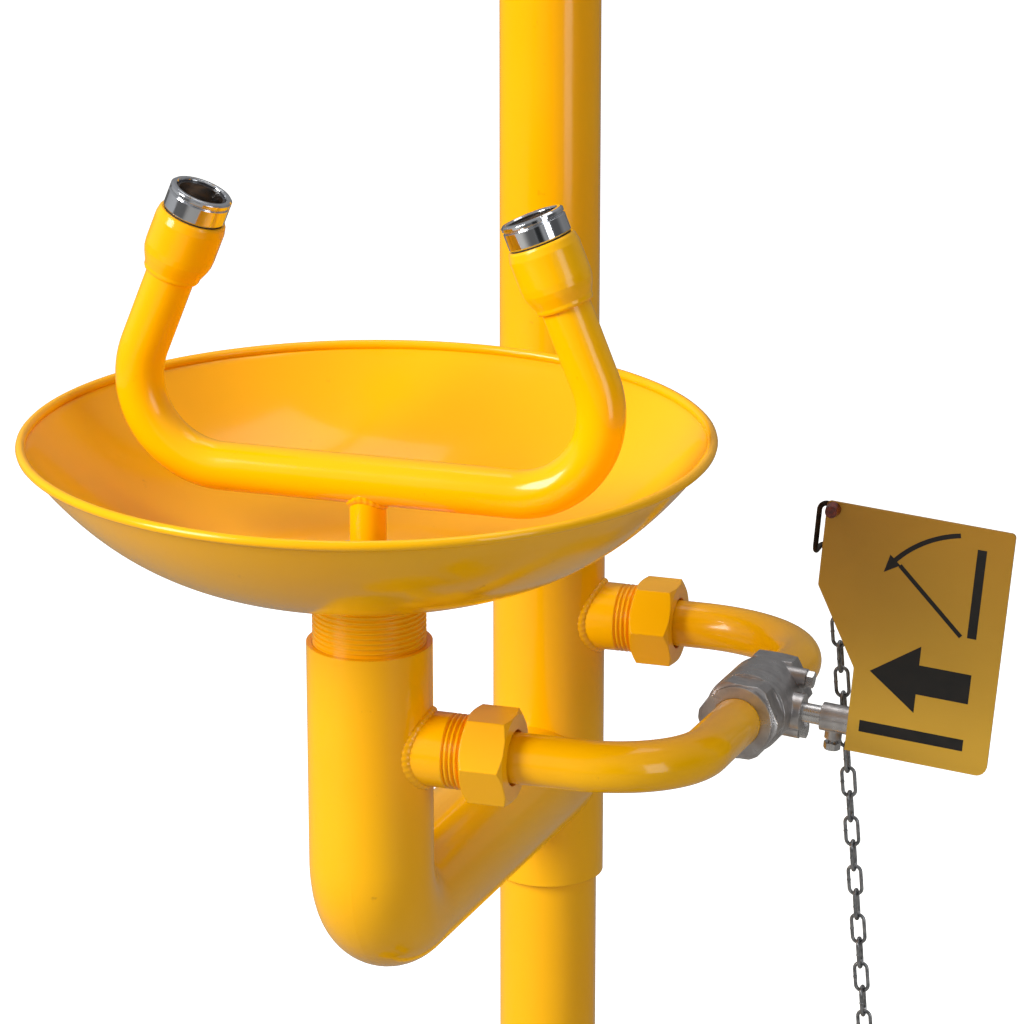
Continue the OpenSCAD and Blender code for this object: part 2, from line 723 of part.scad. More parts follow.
module nozzle_ring() rotate_extrude() {
    top = cup_l + seal_t + ring_l;
    polygon([[ring_in / 2 - 1.6, cup_l - 8], [ring_thread_d / 2, cup_l - 8],
             [ring_thread_d / 2, cup_l + seal_t],
             [ring_d / 2 - 0.4, cup_l + seal_t], [ring_d / 2, cup_l + seal_t + 0.6], [ring_d / 2, top - 3.4],
             [ring_d / 2 - 0.5, top - 3], [ring_d / 2 - 0.5, top - 2.6], [ring_d / 2, top - 2.2],
             [ring_d / 2, top - 0.8], [ring_d / 2 - 0.8, top], [ring_in / 2 + 0.5, top],
              [ring_in / 2, top - 0.6],
             [ring_in / 2, top - 5], [ring_in / 2 - 1.6, top - 5]]);
}

// Perforated spray insert that sits on the ring's inner ledge
module spray_insert() {
    top = cup_l + seal_t + ring_l;
    translate([0, 0, top - 5]) difference() {
        cylinder(d = ring_in - 2 * fit, h = 3.4);
        for (k = [0:3])
            for (i = [0:max(0, 6 * k - 1)])
                rotate([0, 0, k == 0 ? 0 : i * 60 / k])
                    translate([k * 2.7, 0, -1]) cylinder(d = 1.5, h = 6, $fn = 16);
    }
}

module left_cup() color(COAT) in_arm(-1) cup();
module right_cup() color(COAT) in_arm(1) cup();
module left_ring() color(CHROME) in_arm(-1) nozzle_ring();
module right_ring() color(CHROME) in_arm(1) nozzle_ring();
module left_spray() color(DARK) in_arm(-1) spray_insert();
module right_spray() color(DARK) in_arm(1) spray_insert();

module nozzle_seals() color(RUBBER)
    for (side = [-1, 1]) in_arm(side)
        translate([0, 0, cup_l]) ring(ring_d - 1, ring_thread_d + 2 * fit, seal_t);

// ---------- supply loop ----------

module union_nut() difference() {
    rotate([0, 0, 30]) hexagon(nut_af, nut_l);
    translate([0, 0, -1]) cylinder(d = union_d + 2 * fit, h = nut_l - nut_web + 1);
    cylinder(d = nut_hole_d, h = nut_l + 1);
}

module rear_union_nut() color(COAT) translate([nut_start, 0, rear_z]) along_x() union_nut();
module front_union_nut() color(COAT) at_bowl(front_z) translate([nut_start, 0, 0]) along_x() union_nut();

module union_gaskets() color(RUBBER)
    for (p = [[boss_l, 0, rear_z], [boss_l, -bowl_reach, front_z]])
        translate(p) along_x() ring(tail_d, boss_bore + 0.4, gasket_l);

// Supply pipe with its union flange, from the union around the loop's corner to the valve
module tail_pipe(start, corner, stop, r) {
    bent([start, corner, stop], r, supply_d, supply_bore);
    translate(start) along_x() ring(tail_d, supply_bore, tail_flange_l);
}

module rear_supply_pipe() color(COAT)
    tail_pipe([boss_l + gasket_l, 0, rear_z], loop_rear,
              valve_c + flow * (valve_back - socket_depth), rear_bend_r);

module front_supply_pipe() color(COAT)
    tail_pipe([boss_l + gasket_l, -bowl_reach, front_z], loop_front,
              valve_c + flow * (valve_front + socket_depth), front_bend_r);

// ---------- eyewash valve ----------

seat_d = 24;
seat_t = 4;
seat_y = 9;
lug_at = [[13, 12], [13, -12]];   // Y and Z of the two pad screws
lug_l = 19;

module valve_body() color(STEEL) in_valve() difference() {
    union() {
        translate([0, valve_joint, 0]) along_flow() cylinder(d = valve_d, h = 26);
        translate([0, valve_joint + 26, 0]) along_flow() cylinder(d1 = valve_d, d2 = valve_d - 4, h = 5);
        translate([0, valve_back - 14, 0]) along_flow() hexagon(valve_d - 5, 14);
        along_x() cylinder(d = 17, h = gland_x);
        for (p = lug_at) translate([0, p[0], p[1]]) along_x() cylinder(d = 9, h = lug_l);
    }
    translate([0, valve_joint - 1, 0]) along_flow() cylinder(d = ball_d + 1, h = seat_y - valve_joint + 1);
    translate([0, valve_joint, 0]) along_flow()
        cylinder(d = seat_d + 2 * fit, h = seat_y + seat_t - valve_joint);
    along_flow() cylinder(d = port_in_d, h = valve_back + 1);
    translate([0, valve_back - socket_depth, 0]) along_flow()
        cylinder(d = supply_d + 2 * fit, h = socket_depth + 1);
    along_x() cylinder(d = stem_d + 2 * fit, h = gland_x + 1);
    for (p = lug_at) translate([lug_l - 7, p[0], p[1]]) along_x() cylinder(d = 5, h = 8);
}

module valve_end_cap() color(STEEL) in_valve() difference() {
    union() {
        translate([0, valve_front, 0]) along_flow() cylinder(d = valve_d - 4, h = 3);
        translate([0, valve_front + 3, 0]) along_flow() intersection() {
            hexagon(valve_d - 3, 14);
            cylinder(d = valve_d, h = 14);
        }
        translate([0, valve_front + 17, 0]) along_flow()
            cylinder(d = valve_d, h = valve_joint - valve_front - 17);
    }
    translate([0, valve_front - 1, 0]) along_flow()
        cylinder(d = port_in_d, h = valve_joint - valve_front + 2);
    translate([0, valve_front - 1, 0]) along_flow() cylinder(d = supply_d + 2 * fit, h = socket_depth + 1);
    translate([0, -seat_y - seat_t, 0]) along_flow() cylinder(d = seat_d + 2 * fit, h = seat_t + 2);
    sphere(d = ball_d + 0.6);
}

module valve_seats() color(PTFE) in_valve()
    for (y = [-seat_y - seat_t, seat_y]) difference() {
        translate([0, y, 0]) along_flow() ring(seat_d, port_in_d, seat_t);
        sphere(d = ball_d + 2 * fit);
    }

module valve_bolts() color(STEEL) in_valve()
    for (p = lug_at) translate([0, p[0], p[1]]) {
        translate([lug_l - 7, 0, 0]) along_x() cylinder(d = 5 - 2 * fit, h = 7);
        translate([lug_l, 0, 0]) along_x() hexagon(7, 3.4);
    }

tang_w = 4;
tang_in = 9.5;

// The ball is drawn closed: its port stands across the flow
module valve_ball() color(CHROME) in_lever() difference() {
    sphere(d = ball_d, $fn = 64);
    cylinder(d = port_in_d, h = ball_d + 2, center = true);
    translate([tang_in, -tang_w / 2 - fit, -stem_d / 2 - fit])
        cube([ball_d, tang_w + 2 * fit, stem_d + 2 * fit]);
}

module valve_stem() color(STEEL) in_lever() {
    translate([ball_d / 2 - 0.3, 0, 0]) along_x() cylinder(d = stem_d, h = hub_x1 - ball_d / 2 + 0.3);
    translate([hub_x1, 0, 0]) along_x() cylinder(d = stem_d - 1, h = stem_top - hub_x1 + 2);
    intersection() {
        translate([tang_in + 0.2, -tang_w / 2, -stem_d])
            cube([ball_d / 2 - tang_in - 0.3, tang_w, 2 * stem_d]);
        along_x() cylinder(d = stem_d, h = stem_top);
    }
}

module lever_hub() color(STEEL) in_lever() difference() {
    union() {
        translate([hub_x0, 0, 0]) along_x() cylinder(d = lever_hub_d, h = hub_x1 - hub_x0);
        translate([(hub_x0 + hub_x1) / 2 - 1, 0, -lever_hub_d / 2 - 3]) cylinder(d = 8, h = 6);
    }
    translate([hub_x0 - 1, 0, 0]) along_x() cylinder(d = stem_d + 2 * fit, h = hub_x1 - hub_x0 + 2);
    translate([(hub_x0 + hub_x1) / 2 - 1, 0, -lever_hub_d]) cylinder(d = 4, h = lever_hub_d);
}

module hub_screw() color(STEEL) in_lever() translate([(hub_x0 + hub_x1) / 2 - 1, 0, 0]) {
    translate([0, 0, -lever_hub_d / 2 - 5]) cylinder(d = 4 - 2 * fit, h = 6.8);
    translate([0, 0, -lever_hub_d / 2 - 8.4]) hexagon(7, 3.4);
}

// Outline through the corners p with each corner rounded by its own radius
function rounded(p, r) = [for (i = [0:len(p) - 1])
    let (a = p[(i + len(p) - 1) % len(p)], b = p[i], c = p[(i + 1) % len(p)],
         u = unit(a - b), v = unit(c - b), half = acos(u * v) / 2,
         mid = b + unit(u + v) * r[i] / sin(half),
         s = b + u * r[i] / tan(half) - mid, e = b + v * r[i] / tan(half) - mid,
         n = r[i] > 0 ? 6 : 0)
    each n == 0 ? [b] : [for (k = [0:n]) mid + r[i] * unit(s * (n - k) + e * k)]];

module push_plate() color(SHEET) in_lever() {
    outline = rounded(
        [[flange_x, plate_z0], [plate_x1, plate_z0], [plate_x1, plate_z1], [plate_x0, plate_z1],
         [plate_x0, step_z1], [flange_x, step_z0]],
        [0, 5, 2, 2, 3, 3]);
    difference() {
        translate([0, plate_y, 0]) rotate([90, 0, 0]) linear_extrude(plate_t) polygon(outline);
        translate([hook_hole[0], plate_y + 1, hook_hole[1]]) rotate([90, 0, 0])
            cylinder(d = hook_wire + 0.4, h = plate_t + 2);
    }
    difference() {
        union() {
            translate([flange_x, plate_y - plate_t / 2, plate_z0])
                cube([plate_t, plate_t / 2 - plate_y, step_z0 - 8 - plate_z0]);
            translate([flange_x, 0, 0]) along_x() cylinder(d = 16, h = plate_t);
        }
        translate([flange_x - 1, 0, 0]) along_x() cylinder(d = stem_d - 1 + 2 * fit, h = plate_t + 2);
    }
}

module stem_nut() color(STEEL) in_lever() {
    translate([flange_x + plate_t, 0, 0]) along_x() ring(15, stem_d - 1 + 2 * fit, 1);
    translate([flange_x + plate_t + 1, 0, 0]) along_x() difference() {
        hexagon(nut_small_af, nut_h);
        translate([0, 0, -1]) cylinder(d = stem_d - 1 + 2 * fit, h = nut_h + 2);
    }
}

knob_l = 5;

module plate_hook() color(DARK) in_lever()
    bent([[hook_hole[0], plate_y - plate_t - knob_l + 2, hook_hole[1]],
          [hook_hole[0], plate_y + 5, hook_hole[1]],
          [plate_x0 - 4.5, plate_y + 5, hook_hole[1]],
          [plate_x0 - 4.5, plate_y + 5, hook_z],
          [plate_x0 - 4.5, hook_y, hook_z],
          [hook_x + 9, hook_y, hook_z]], hook_bend_r, hook_wire);

module hook_knob() color(KNOB) in_lever()
    translate([hook_hole[0], plate_y - plate_t, hook_hole[1]]) rotate([90, 0, 0]) difference() {
        cylinder(d1 = 7, d2 = 5.5, h = knob_l);
        translate([0, 0, -1]) cylinder(d = hook_wire + 2 * fit, h = knob_l - 1);
    }

// ---------- chain ----------

// One link in the XZ plane with its top wire centre at z = 0
module link(length, width, wire) {
    r = width / 2;
    translate([0, 0, -r]) rotate([90, 0, 0]) rotate_extrude(angle = 180) translate([r, 0]) circle(d = wire);
    translate([0, 0, r - length]) rotate([-90, 0, 0]) rotate_extrude(angle = 180) translate([r, 0])
        circle(d = wire);
    for (x = [-r, r]) translate([x, 0, r - length]) cylinder(d = wire, h = length - 2 * r);
}

module chain() color(STEEL) in_chain() {
    for (k = [0:link_count - 1])
        translate([0, 0, first_link - k * link_pitch])
            rotate([0, 0, k % 2 == 0 ? 90 : 0]) link(link_l, link_w, wire_d);
    translate([0, 0, end_top]) link(end_top + chain_run + end_slack, end_link_w, end_wire_d);
}

// ---------- treadle ----------

module treadle_plate() color(COAT) in_treadle() {
    difference() {
        union() {
            translate([treadle_x0, -treadle_tip, treadle_under])
                cube([treadle_w, treadle_tip - plate_start, treadle_t]);
            translate([barrel_x0, -plate_start - 1, treadle_under])
                cube([barrel_x1 - barrel_x0, plate_start + 1, treadle_t]);
            translate([barrel_x0, 0, 0]) along_x() cylinder(d = barrel_d, h = barrel_x1 - barrel_x0);
            for (x = [treadle_x0, treadle_x1 - treadle_t])
                translate([x, -treadle_tip, skirt_low])
                    cube([treadle_t, treadle_tip - plate_start, treadle_under + treadle_t - skirt_low]);
            for (i = [0:6])
                translate([treadle_x0 + 8, -treadle_tip + 14 + 22 * i, treadle_under + 1])
                    cube([treadle_w - 16, 5, treadle_t]);
        }
        translate([barrel_x0 - 1, 0, 0]) along_x()
            cylinder(d = pin_d + 2 * fit, h = barrel_x1 - barrel_x0 + 2);
        for (s = [bar_start, bar_end])
            translate([treadle_x1 - treadle_t - 1, -s, 0]) along_x()
                cylinder(d = bar_d + 2 * fit, h = treadle_t + 2);
    }
}

// Bar beside the plate that carries the chain's end link
module treadle_bar() color(STEEL) in_treadle()
    bent([[treadle_x1 - treadle_t - 3, -bar_start, 0], [bar_x, -bar_start, 0],
          [bar_x, -bar_end, 0], [treadle_x1 - treadle_t - 3, -bar_end, 0]], 5, bar_d);

module clamp_half(side) {
    ear_y = pipe_d / 2 + clamp_wall;
    difference() {
        union() {
            translate([0, 0, hinge_z - clamp_h / 2]) cylinder(d = pipe_d + 2 * clamp_wall, h = clamp_h);
            for (s = [-1, 1])
                translate([side * 5.5, s * (ear_y + 6), hinge_z]) cube([10, 22, clamp_h], center = true);
        }
        translate([0, 0, hinge_z - clamp_h]) cylinder(d = pipe_d + 2 * fit, h = 2 * clamp_h);
        translate([-side * 49.5, 0, hinge_z]) cube([100, 200, 2 * clamp_h], center = true);
        for (s = [-1, 1])
            translate([-20, s * (ear_y + 8), hinge_z]) along_x() cylinder(d = clamp_bolt_d + 0.4, h = 40);
    }
}

module treadle_bracket() color(COAT) {
    lug_x = [barrel_x0 - barrel_gap - lug_t, barrel_x1 + barrel_gap];
    x_end = lug_x[1] + lug_t;
    y_bar = hinge_y + 14;
    clamp_half(1);
    difference() {
        union() {
            translate([0, 0, hinge_z - bracket_t / 2]) linear_extrude(bracket_t)
                polygon([[16, -22], [40, -18], [treadle_x0 - 12, y_bar], [x_end, y_bar], [x_end, y_bar + 24],
                         [treadle_x0 - 26, y_bar + 24], [16, 24]]);
            for (x = lug_x) {
                translate([x, hinge_y, hinge_z]) along_x() cylinder(d = lug_d, h = lug_t);
                translate([x, hinge_y, hinge_z - lug_d / 2]) cube([lug_t, 26, lug_d]);
            }
        }
        for (x = lug_x) translate([x - 1, hinge_y, hinge_z]) along_x()
            cylinder(d = pin_d + 2 * fit, h = lug_t + 2);
        translate([0, 0, hinge_z - clamp_h]) cylinder(d = pipe_d + 2 * fit, h = 2 * clamp_h);
        for (s = [-1, 1])
            translate([10.5, s * (pipe_d / 2 + clamp_wall + 8), hinge_z]) along_x() cylinder(d = 17, h = 14);
    }
}

module treadle_clamp() color(COAT) clamp_half(-1);

module clamp_bolts() color(STEEL)
    for (s = [-1, 1]) translate([0, s * (pipe_d / 2 + clamp_wall + 8), hinge_z]) {
        translate([-10.5, 0, 0]) along_x() cylinder(d = clamp_bolt_d, h = 29);
        translate([-10.5 - 5.3, 0, 0]) along_x() hexagon(13, 5.3);
        translate([10.5, 0, 0]) along_x() difference() {
            hexagon(13, 6.5);
            translate([0, 0, -1]) cylinder(d = clamp_bolt_d + 2 * fit, h = 9);
        }
    }

module treadle_pin() color(STEEL) {
    x0 = barrel_x0 - barrel_gap - lug_t;
    x1 = barrel_x1 + barrel_gap + lug_t;
    translate([x0, hinge_y, hinge_z]) along_x() cylinder(d = pin_d, h = x1 - x0 + 3);
    translate([x0 - 4, hinge_y, hinge_z]) along_x() cylinder(d = pin_d + 5, h = 4);
}

// ---------- shower valve lever and pull rod ----------

module shower_ball() color(CHROME) translate(shower_c) difference() {
    sphere(d = sv_ball_d, $fn = 64);
    cylinder(d = sv_port, h = sv_ball_d + 2, center = true);
    translate([14, -2.5 - fit, -sv_stem_d / 2 - fit]) cube([sv_ball_d, 5 + 2 * fit, sv_stem_d + 2 * fit]);
}

module shower_stem() color(STEEL) translate(shower_c) {
    translate([sv_ball_d / 2 - 0.3, 0, 0]) along_x() cylinder(d = sv_stem_d, h = sv_stem_top - sv_ball_d / 2);
    intersection() {
        translate([14.2, -2.5, -sv_stem_d]) cube([sv_ball_d / 2 - 14.2, 5, 2 * sv_stem_d]);
        along_x() cylinder(d = sv_stem_d, h = sv_stem_top);
    }
    translate([lever_x0 + lever_t, 0, 0]) along_x() difference() {
        hexagon(19, 6);
        translate([0, 0, -1]) cylinder(d = sv_stem_d - 1, h = 8);
    }
}

module shower_lever() color(STEEL) translate(shower_c) rotate([-lever_rest, 0, 0]) difference() {
    union() {
        translate([lever_x0 - 6, 0, 0]) along_x() cylinder(d = 30, h = lever_t + 6);
        translate([lever_x0, -lever_l, -10]) cube([lever_t, lever_l, 20]);
        translate([lever_x0, -lever_l, 0]) along_x() cylinder(d = 22, h = lever_t);
    }
    translate([lever_x0 - 7, 0, 0]) along_x() cylinder(d = sv_stem_d + 2 * fit, h = lever_t + 9);
    translate([lever_x0 - 1, -lever_l, 0]) along_x() cylinder(d = rod_d + 2 * fit, h = lever_t + 2);
}

rod_x = lever_end[0] + lever_t / 2 + 14;
rod_foot = [rod_x, lever_end[1], lever_end[2] - rod_l];

module pull_rod() color(STEEL) {
    inner = lever_x0 - 0.6;
    bent([[inner, lever_end[1], lever_end[2]], [rod_x, lever_end[1], lever_end[2]], rod_foot], 10, rod_d);
    translate([inner - 3, lever_end[1], lever_end[2]]) along_x() cylinder(d = 14, h = 3);
}

module pull_handle() color(STEEL) translate(rod_foot) {
    difference() {
        translate([0, 0, -8]) cylinder(d = 16, h = 24);
        cylinder(d = rod_d + 2 * fit, h = 17);
    }
    drop = handle_w * 0.9;
    bent([[0, 0, -5], [-handle_w / 2, 0, -drop], [handle_w / 2, 0, -drop], [0, 0, -5]], 14, rod_d,
         $fn = 24, $bend_fn = 40);
}

floor_flange();
lower_pipe();
waste_outlet();
sleeve();
partition_plug();
upper_pipe();
supply_inlet();
top_elbow();
arm_nipple();
shower_valve_body();
shower_valve_cap();
shower_arm();
shower_shell();
shower_rose();
rose_screws();
drain_leg();
bowl();
bowl_gasket();
bowl_drain();
drain_collar();
drain_strainer();
riser_pipe();
yoke_pipe();
left_cup();
right_cup();
left_ring();
right_ring();
left_spray();
right_spray();
nozzle_seals();
rear_union_nut();
front_union_nut();
union_gaskets();
rear_supply_pipe();
front_supply_pipe();
valve_body();
valve_end_cap();
valve_seats();
valve_bolts();
treadle_bracket();
treadle_clamp();
clamp_bolts();
treadle_pin();
valve_ball();
valve_stem();
lever_hub();
hub_screw();
push_plate();
stem_nut();
plate_hook();
hook_knob();
chain();
treadle_plate();
treadle_bar();
shower_ball();
shower_stem();
shower_lever();
pull_rod();
pull_handle();
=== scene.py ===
# %% [markdown]
# # An emergency shower with an eyewash bowl
# The object is a steel standpipe that carries an eyewash bowl at hand height and a
# shower rose overhead. Yellow pipes bring water through a ball valve with a push plate.
# The exact shapes of the pipes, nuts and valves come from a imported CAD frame. This
# lesson dresses them in finishes, spins the bowl as one smooth shell, and adds the small
# things that a frame leaves out: weld beads, nozzle screens, rubber nubs and a sign.

# %% Load the frame
import json
import math

import bmesh
import bpy
import numpy
from mathutils import Matrix, Vector


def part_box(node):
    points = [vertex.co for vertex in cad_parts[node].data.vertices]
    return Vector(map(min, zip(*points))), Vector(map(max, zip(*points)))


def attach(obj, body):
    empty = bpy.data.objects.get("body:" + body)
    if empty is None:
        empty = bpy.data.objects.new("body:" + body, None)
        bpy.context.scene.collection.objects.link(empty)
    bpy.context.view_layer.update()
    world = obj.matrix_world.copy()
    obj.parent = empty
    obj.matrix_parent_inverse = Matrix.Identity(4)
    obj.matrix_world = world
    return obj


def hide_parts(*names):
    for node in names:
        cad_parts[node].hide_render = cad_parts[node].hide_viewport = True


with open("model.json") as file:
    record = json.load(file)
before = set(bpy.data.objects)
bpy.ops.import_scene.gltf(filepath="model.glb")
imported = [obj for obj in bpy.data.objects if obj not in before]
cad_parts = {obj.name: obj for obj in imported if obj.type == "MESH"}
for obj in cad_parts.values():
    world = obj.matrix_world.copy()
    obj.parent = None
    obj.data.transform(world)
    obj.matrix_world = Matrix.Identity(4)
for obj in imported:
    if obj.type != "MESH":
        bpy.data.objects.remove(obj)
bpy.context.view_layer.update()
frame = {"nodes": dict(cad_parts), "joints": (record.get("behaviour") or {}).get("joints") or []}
MM = 0.001

# %% [markdown]
# ## Reading places from the frame
# Every pipe in this object is round, so the middle of its box is its axis. Three small
# helpers read the middle, the size and the turning axis of a joint, and later cells use
# them in place of typed coordinates. If the frame is packed again with another height,
# the added pieces follow it.

# %% Helpers that read the frame
def middle(node):
    low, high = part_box(node)
    return (low + high) / 2


def extent(node):
    low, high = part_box(node)
    return high - low


def joint(name):
    return next(j for j in frame["joints"] if j["name"] == name)


bowl_axis = middle("bowl")
rim_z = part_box("bowl")[1].z
pipe_radius = extent("upper_pipe").x / 2
print("bowl axis", [round(v, 3) for v in bowl_axis], "rim height", round(rim_z, 4))
print("standpipe radius in mm", round(pipe_radius / MM, 2))

# %% [markdown]
# ## The camera
# The unit is shown from a little above the bowl, with a long lens,
# so that the pipes stay nearly parallel. A 156 mm lens on a 36 mm wide sensor at 1.9 m
# does that. The camera is placed from the point it looks at, an azimuth and a drop, which
# is easier to adjust than a position and three angles.

# %% Camera
def place_camera(target, azimuth, drop, distance, lens):
    data = bpy.data.cameras.new("camera")
    data.lens = lens
    data.sensor_width = 36
    data.clip_end = 200
    camera = bpy.data.objects.new("camera", data)
    bpy.context.scene.collection.objects.link(camera)
    turn = math.radians(azimuth)
    fall = math.radians(drop)
    looking = Vector((-math.sin(turn) * math.cos(fall), math.cos(turn) * math.cos(fall), -math.sin(fall)))
    camera.location = target - looking * distance
    camera.rotation_euler = (math.pi / 2 - fall, 0, turn)
    bpy.context.scene.camera = camera
    return camera


look_at = bowl_axis.copy()
look_at += Vector((0.062, 0.0093, 0))
look_at.z = rim_z - 0.0324
camera = place_camera(look_at, azimuth=17.59, drop=17.85, distance=1.9, lens=156.1)
print("camera stands at", [round(v, 3) for v in camera.location])

# %% [markdown]
# ## Light
# Glossy paint and chrome show their surroundings, so the light is built from large soft
# areas. A wide panel stands high at the left front and models the pipes. A weaker panel at
# the right fills the shade. The world gives the even white of a light tent, with two dark
# strips at the side, because chrome without anything dark to mirror looks like grey
# plastic. The camera itself sees the world as plain white.

# %% Soft boxes
def area_light(name, location, target, width, height, watts, colour):
    data = bpy.data.lights.new(name, "AREA")
    data.shape = "RECTANGLE"
    data.size = width
    data.size_y = height
    data.energy = watts
    data.color = colour
    light = bpy.data.objects.new(name, data)
    light.location = location
    light.rotation_euler = (Vector(target) - Vector(location)).to_track_quat("-Z", "Y").to_euler()
    bpy.context.scene.collection.objects.link(light)
    return light


area_light("key_box", (-2.3, -2.6, 2.7), look_at, 1.5, 2.2, 175, (1.0, 0.98, 0.95))
area_light("fill_box", (2.6, -1.6, 1.2), look_at, 1.0, 1.8, 20, (0.96, 0.98, 1.0))
area_light("top_box", (0.2, 0.6, 4.2), look_at, 2.4, 1.6, 24, (1.0, 1.0, 1.0))
print("three soft boxes placed")

# %% One helper that adds a node
def add_node(tree, kind, inputs=None, **settings):
    """Adds a node, sets its properties, and fills or links its inputs by name or number."""
    node = tree.nodes.new(kind)
    for name, value in settings.items():
        setattr(node, name, value)
    for key, value in (inputs or {}).items():
        socket = node.inputs[key]
        if isinstance(value, bpy.types.NodeSocket):
            tree.links.new(value, socket)
        else:
            socket.default_value = value
    return node


# %% The world
def build_world():
    world = bpy.data.worlds.new("light_tent")
    world.use_nodes = True
    tree = world.node_tree
    tree.nodes.clear()
    way = add_node(tree, "ShaderNodeTexCoord").outputs["Generated"]
    split = add_node(tree, "ShaderNodeSeparateXYZ", {0: way})
    angle = add_node(tree, "ShaderNodeMath", {0: split.outputs["Y"], 1: split.outputs["X"]},
                     operation="ARCTAN2")
    turn = add_node(tree, "ShaderNodeMapRange", {"Value": angle.outputs[0], "From Min": -math.pi,
                                                 "From Max": math.pi})
    ramp = add_node(tree, "ShaderNodeValToRGB", {"Fac": turn.outputs[0]})
    stops = [(0.0, 0.80), (0.17, 0.95), (0.27, 0.60), (0.30, 0.05), (0.335, 0.05), (0.36, 0.62),
             (0.43, 0.34), (0.48, 0.04), (0.54, 0.06), (0.60, 0.40), (0.80, 0.30), (1.0, 0.80)]
    bar = ramp.color_ramp.elements
    while len(bar) > 1:
        bar.remove(bar[-1])
    bar[0].position = stops[0][0]
    bar[0].color = (stops[0][1],) * 3 + (1,)
    for place, level in stops[1:]:
        stop = bar.new(place)
        stop.color = (level,) * 3 + (1,)
    up = add_node(tree, "ShaderNodeMapRange", {"Value": split.outputs["Z"], "From Min": 0.15,
                                               "From Max": 0.7})
    sky = add_node(tree, "ShaderNodeMixRGB", {"Fac": up.outputs[0], "Color1": ramp.outputs["Color"],
                                              "Color2": (0.62, 0.62, 0.63, 1)})
    tent = add_node(tree, "ShaderNodeBackground", {"Color": sky.outputs[0], "Strength": 0.62})
    white = add_node(tree, "ShaderNodeBackground", {"Color": (1, 1, 1, 1), "Strength": 1.0})
    seen = add_node(tree, "ShaderNodeLightPath").outputs["Is Camera Ray"]
    mix = add_node(tree, "ShaderNodeMixShader", {"Fac": seen, 1: tent.outputs[0], 2: white.outputs[0]})
    add_node(tree, "ShaderNodeOutputWorld", {"Surface": mix.outputs[0]})
    bpy.context.scene.world = world


build_world()
bpy.context.scene.view_settings.view_transform = "Standard"
print("world built")

# %% [markdown]
# ## The floor
# The floor is one plain pale sheet, large enough that the camera sees nothing but it.
# It is matt. To the camera it is near white and glows a little; to everything else it is a
# mid grey, so that it doesn't wash out the paint on the undersides.

# %% Colour and floor helpers
def linear(hex_colour, alpha=1.0):
    """The linear colour of an sRGB hex value such as "#FFB400"."""
    parts = [int(hex_colour[i:i + 2], 16) / 255 for i in (1, 3, 5)]
    parts = [p / 12.92 if p <= 0.04045 else ((p + 0.055) / 1.055) ** 2.4 for p in parts]
    return (*parts, alpha)


def new_material(name):
    material = bpy.data.materials.new(name)
    material.use_nodes = True
    tree = material.node_tree
    tree.nodes.clear()
    shader = add_node(tree, "ShaderNodeBsdfPrincipled")
    add_node(tree, "ShaderNodeOutputMaterial", {"Surface": shader.outputs[0]})
    return material, tree, shader


def camera_glow(tree, seen, strength=0.8):
    """The floor glows a little, for the camera only, so that it reads as white paper."""
    return add_node(tree, "ShaderNodeMath", {0: seen, 1: strength}, operation="MULTIPLY").outputs[0]


def lay_floor():
    mesh = bpy.data.meshes.new("floor")
    half = 30
    mesh.from_pydata([(-half, -half, 0), (half, -half, 0), (half, half, 0), (-half, half, 0)], [], [(0, 1,
                                                                                                     2, 3)])
    floor = bpy.data.objects.new("floor", mesh)
    bpy.context.scene.collection.objects.link(floor)
    material, tree, shader = new_material("matt_studio_paint")
    seen = add_node(tree, "ShaderNodeLightPath").outputs["Is Camera Ray"]
    sheet = add_node(tree, "ShaderNodeMixRGB", {"Fac": seen, "Color1": linear("#9C9A96"),
                                                "Color2": linear("#F4F4F2")})
    tree.links.new(sheet.outputs[0], shader.inputs["Base Color"])
    tree.links.new(camera_glow(tree, seen), shader.inputs["Emission Strength"])
    shader.inputs["Emission Color"].default_value = linear("#F4F4F2")
    shader.inputs["Roughness"].default_value = 0.9
    mesh.materials.append(material)
    return floor


lay_floor()
print("floor laid")

# %% [markdown]
# ## Finishes
# Each finish starts from what the real surface is and how it was made. The patterns are
# procedural and read Object coordinates, which are metres here, so a pattern's scale is
# one over its real size. All of them share one helper for that, and one helper that mixes
# two colours by a pattern.

# %% Pattern helpers
def grain(tree, size_mm, detail=2.0, stretch=(1, 1, 1), turn=(0, 0, 0), kind="ShaderNodeTexNoise",
          **settings):
    """A noise pattern whose cells are size_mm across, read from Object coordinates."""
    place = add_node(tree, "ShaderNodeTexCoord").outputs["Object"]
    lay = add_node(tree, "ShaderNodeMapping", {"Vector": place, "Scale": stretch, "Rotation": turn})
    inputs = {"Vector": lay.outputs[0], "Scale": 1 / (size_mm * MM)}
    if kind == "ShaderNodeTexNoise":
        inputs["Detail"] = detail
    return add_node(tree, kind, inputs, **settings).outputs[0]


def between(tree, pattern, low, high, start=0.35, end=0.65):
    """Maps a pattern to the range low..high."""
    return add_node(tree, "ShaderNodeMapRange", {"Value": pattern, "From Min": start, "From Max": end,
                                                 "To Min": low, "To Max": high}).outputs[0]


def blend_colour(tree, pattern, first, second, start=0.35, end=0.65):
    share = between(tree, pattern, 0, 1, start, end)
    return add_node(tree, "ShaderNodeMixRGB", {"Fac": share, "Color1": first, "Color2": second}).outputs[0]


